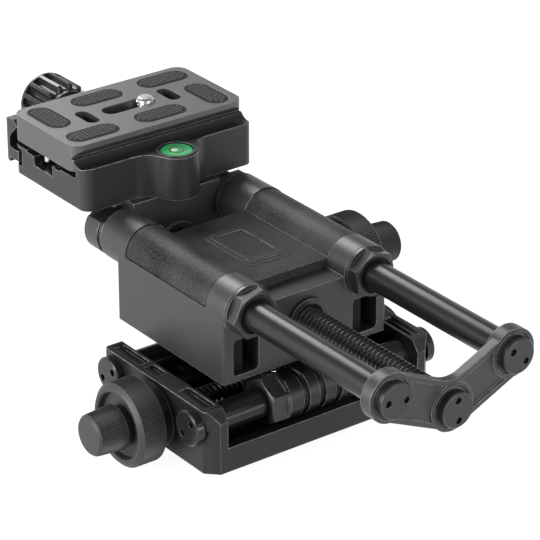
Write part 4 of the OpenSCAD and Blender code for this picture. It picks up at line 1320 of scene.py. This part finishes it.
@dataclass
class CameraPlate:
    """The quick-release plate with its rubber pads and camera screw."""

    centre_y: float = 79.7
    pad_size: Pair = (19.8, 8.8)
    pad_bevel: float = 0.1
    pad_border: float = 0.3
    pads: tuple[tuple[float, float, bool], ...] = (
        (-27.65, 7.3, True), (-22.75, -12.3, False), (4.9, -12.2, False))
    stud: float = 1.3
    stud_rise: float = 0.25
    stud_sunk: float = 0.05
    stud_foot: float = 0.36
    stud_top: float = 0.28
    screw_lower: float = 0.75
    screw_r: Pair = (3.175, 2.55)
    screw_pitch: float = 1.27
    head_l: float = 3.35
    slotted_l: float = 1.4
    slot_half: float = 0.8
    stop_at: Pair = (31.0, 83.0)
    stop_span: Pair = (65.5, 71.2)
    stop_r: float = 1.5

    def build(self) -> None:
        """Dresses the plate and builds the pads and screws."""
        finish_nodes(PLATE_GREY, "quick_plate")
        finish_nodes(BRIGHT_ZINC, "screw_clip")
        self.rubber()
        self.screw()
        self.stops()

    def rubber(self) -> None:
        """Builds the six pads, each with a plain border round rows of small studs; the ground round the studs
        is far darker than the studs, as painted shade between them.
        """
        low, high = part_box("plate_pads")
        ground, studs = Form(), Form()
        for side in (1, -1):
            for x, y, crosswise in self.pads:
                spot = Matrix.Translation((side * x, self.centre_y + side * y, 0))
                if crosswise:
                    spot @= Matrix.Rotation(math.pi / 2, 4, "Z")
                ground.join(self.pad(low.z / MM, high.z / MM).place(spot))
                studs.join(self.studs(high.z / MM).place(spot))
        stand_for(ground.piece("pads_ground_painted_shade", RUBBER_BLACK, FLAT), "plate_pads")
        carry(studs.piece("pads_studs", STUD_BLACK, FLAT), "plate_pads")

    def pad(self, bottom: float, top: float) -> Form:
        """One pad without its studs, along X.

        Args:
            bottom: Height of its underside.
            top: Height of its studs.

        Returns:
            The pad.
        """
        half, r = (self.pad_size[0] - self.pad_size[1]) / 2, self.pad_size[1] / 2
        outline = [
            polar(r, math.radians(180 * step / 16 - 90 * end), (end * half, 0.0))
            for end in (1, -1) for step in range(17)]
        return Form().prism(outline, bottom, top - self.stud_rise, self.pad_bevel)

    def studs(self, top: float) -> Form:
        """The studs of one pad, along X.

        Args:
            top: Their height.

        Returns:
            The studs.
        """
        length, r, made = self.pad_size[0] / 2, self.pad_size[1] / 2, Form()
        rows, columns = (int((reach - self.pad_border) / self.stud) for reach in (r, length))
        foot = top - self.stud_rise - self.stud_sunk
        wide, bevel = self.stud * self.stud_foot, self.stud * (self.stud_foot - self.stud_top) * DIAGONAL
        for row in range(-rows, rows + 1):
            for column in range(-columns, columns + 1):
                u, v = column * self.stud, row * self.stud
                past = max(abs(u) - (length - r), 0.0)
                if math.hypot(past + wide, abs(v) + wide) <= r - self.pad_border:
                    square = [(u + a * wide, v + b * wide) for a, b in ((-1, -1), (1, -1), (1, 1), (-1, 1))]
                    made.join(Form().prism(square, foot, top, bevel))
        return made

    def screw(self) -> None:
        """Builds the camera screw: a slotted head under the plate and a short thread above it."""
        matrix, solid, head_r = seat("camera_screw", Way.UP)
        length, (crest, core), head_l = solid - self.screw_lower, self.screw_r, self.head_l
        form = Form().thread((head_l - 0.2, length - 1.45), crest, core, self.screw_pitch, 48)
        form.turn(rounded([
            (0.0, length - 1.7), (core, length - 1.7), (core - 0.2, length - 1.15),
            (crest - 0.1, length - 0.95), (crest - 0.15, length - 0.8), (2.3, length - 0.05),
            (0.0, length)], 0.15), 48)
        for side in (1, -1):
            form.join(self.half_head(head_r, side))
        disc = [(0.0, self.slotted_l), (head_r, self.slotted_l), (head_r, head_l), (0.0, head_l)]
        form.turn(rounded(disc, 0.25), 64)
        stand_for(form.place(matrix).piece("camera_screw_threaded", BRIGHT_ZINC, 50.0), "camera_screw")

    def half_head(self, radius: float, side: int) -> Form:
        """One side of the slotted part of the screw's head.

        Args:
            radius: The head's radius.
            side: 1 for the rear side, -1 for the front side.

        Returns:
            The half.
        """
        start = math.asin(self.slot_half / radius)
        arc = [polar(radius, start + (math.pi - 2 * start) * step / 24) for step in range(25)]
        return Form().prism([(x, y * side) for x, y in arc[::side]], 0.0, self.slotted_l, 0.0)

    def stops(self) -> None:
        """Adds the two bright stop pins that hang from the plate's ends into the clamp's channel."""
        (low, high), wide = self.stop_span, self.stop_r
        corners = [(0.0, 0.0), (wide - 0.5, 0.2), (wide, 0.9), (wide, high - low), (0.0, high - low)]
        pins = Form()
        for side in (-1, 1):
            at = Matrix.Translation((side * self.stop_at[0], self.stop_at[1], low))
            pins.join(Form().turn(rounded(corners, 0.5), 32).place(at))
        carry(pins.piece("plate_stop_pins", BRIGHT_ZINC), "quick_plate")


@dataclass
class Studio:
    """A pale tent with one strong side light, and the camera of the photograph."""

    camera_place: Place = (-0.5112, -0.6856, 0.4687)
    azimuth: float = -36.77
    elevation: float = 26.17
    lens: float = 193.33
    lamp_target: Place = (0.0, 0.0, 0.04)
    floor_half: float = 30.0
    floor_under: float = 0.0002
    floor_tone: float = 0.8
    floor_faint: float = 0.16
    floor_glow: float = 0.93
    world_level: float = 0.3
    ceiling_level: float = 0.3
    horizon: Pair = (0.05, 0.75)

    def build(self) -> None:
        """Makes the camera, the floor, the world and the lamps."""
        self.camera()
        self.floor()
        self.world()
        self.lamp("side_light", (-0.85, 0.1, 0.2), 0.7, 20.0)
        self.lamp("back_light", (0.1, 0.76, 0.64), 0.45, 8.0)
        self.lamp("front_light", (0.15, -0.9, 0.25), 0.6, 10.0)
        bpy.context.scene.view_settings.view_transform = "Standard"

    def aimed(self, data: bpy.types.ID, place: Place, look: Vector) -> Piece:
        """Sets up a camera or a lamp.

        Args:
            data: The camera or light, whose name the object takes.
            place: Where it stands.
            look: The direction in which it looks.

        Returns:
            The object.
        """
        made = linked(data.name, data)
        made.location = place
        made.rotation_mode = "QUATERNION"
        made.rotation_quaternion = look.to_track_quat("-Z", "Y")
        return made

    def camera(self) -> None:
        """Puts the camera where the photograph was taken from."""
        data = bpy.data.cameras.new("photo_camera")
        data.lens, data.sensor_width = self.lens, 36.0
        data.clip_start, data.clip_end = 0.05, 20.0
        a, e = math.radians(self.azimuth), math.radians(self.elevation)
        back = Vector((math.sin(a) * math.cos(e), -math.cos(a) * math.cos(e), math.sin(e)))
        bpy.context.scene.camera = self.aimed(data, self.camera_place, -back)

    def lamp(self, name: str, place: Place, size: float, power: float) -> None:
        """Adds a soft square lamp that looks at the rail.

        Args:
            name: Its name.
            place: Where it stands.
            size: Its width.
            power: Its power in watts.
        """
        data = bpy.data.lights.new(name, "AREA")
        data.shape, data.size, data.energy = "SQUARE", size, power
        self.aimed(data, place, Vector(self.lamp_target) - Vector(place))

    def background_rays(self, sheet: NodeSheet) -> Socket:
        """A mask that is 1 where the camera, a reflection or a glass looks.

        Args:
            sheet: Where its nodes go.

        Returns:
            The mask's socket.
        """
        path = sheet.add("LightPath").outputs
        some = sheet.sum("MAXIMUM", path["Is Camera Ray"], path["Is Glossy Ray"])
        return sheet.sum("MAXIMUM", some, path["Is Transmission Ray"])

    def floor(self) -> None:
        """Lays a wide floor under the lowest point, pale, with a soft shadow on it."""
        mesh = bpy.data.meshes.new("studio_floor")
        size = self.floor_half
        mesh.from_pydata(
            [(-size, -size, 0), (size, -size, 0), (size, size, 0), (-size, size, 0)], [], [(0, 1, 2, 3)])
        low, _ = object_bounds()
        floor = linked("studio_floor", mesh)
        floor.location.z = low.z - self.floor_under
        floor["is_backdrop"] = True
        material = bpy.data.materials.new("studio_floor")
        material.use_nodes = True
        nodes = material.node_tree.nodes
        nodes.remove(nodes["Principled BSDF"])
        sheet = NodeSheet(material.node_tree)
        seen = self.background_rays(sheet)
        matt = sheet.add("BsdfDiffuse", Color=(*[self.floor_tone] * 3, 1.0))
        faint = sheet.add("BsdfDiffuse", Color=(*[self.floor_faint] * 3, 1.0))
        glow = sheet.add("Emission", Color=(1.0, 1.0, 1.0, 1.0), Strength=self.floor_glow)
        both = sheet.add("AddShader", in0=faint.outputs[0], in1=glow.outputs[0])
        choice = sheet.add("MixShader", in0=seen, in1=matt.outputs[0], in2=both.outputs[0])
        sheet.feed(nodes["Material Output"].inputs["Surface"], choice.outputs[0])
        mesh.materials.append(material)

    def world(self) -> None:
        """Sets a world that is white to the camera, and pale at its horizon in reflections."""
        world = bpy.data.worlds.new("studio_world")
        bpy.context.scene.world = world
        world.use_nodes = True
        sheet = NodeSheet(world.node_tree)
        seen = self.background_rays(sheet)
        ground = world.node_tree.nodes["Background"].inputs
        sheet.feed(ground["Color"], (1.0, 1.0, 1.0, 1.0))
        sky = sheet.add("TexCoord").outputs["Generated"]
        height = sheet.add("SeparateXYZ", Vector=sky).outputs["Z"]
        backdrop = sheet.span(height, *self.horizon, (1.0, self.ceiling_level))
        shown = sheet.sum("MULTIPLY", seen, backdrop)
        soft = sheet.sum("MULTIPLY", sheet.sum("SUBTRACT", 1.0, seen), self.world_level)
        white = sheet.add("LightPath").outputs["Is Camera Ray"]
        sheet.feed(ground["Strength"], sheet.sum("MAXIMUM", white, sheet.sum("ADD", shown, soft)))


def main() -> None:
    """Builds the effects, the sub-assemblies and the studio in order."""
    logging.basicConfig(level=logging.INFO, format="%(name)s: %(message)s")
    make_surface_grain()
    make_edge_wear_and_highlight()
    make_tool_lines()
    for stage in (CrossStage(), FocusStage(), ClampStage(), CameraPlate(), Studio()):
        stage.build()
        LOG.info("%s is built", type(stage).__name__)


if __name__ == "__main__":
    main()
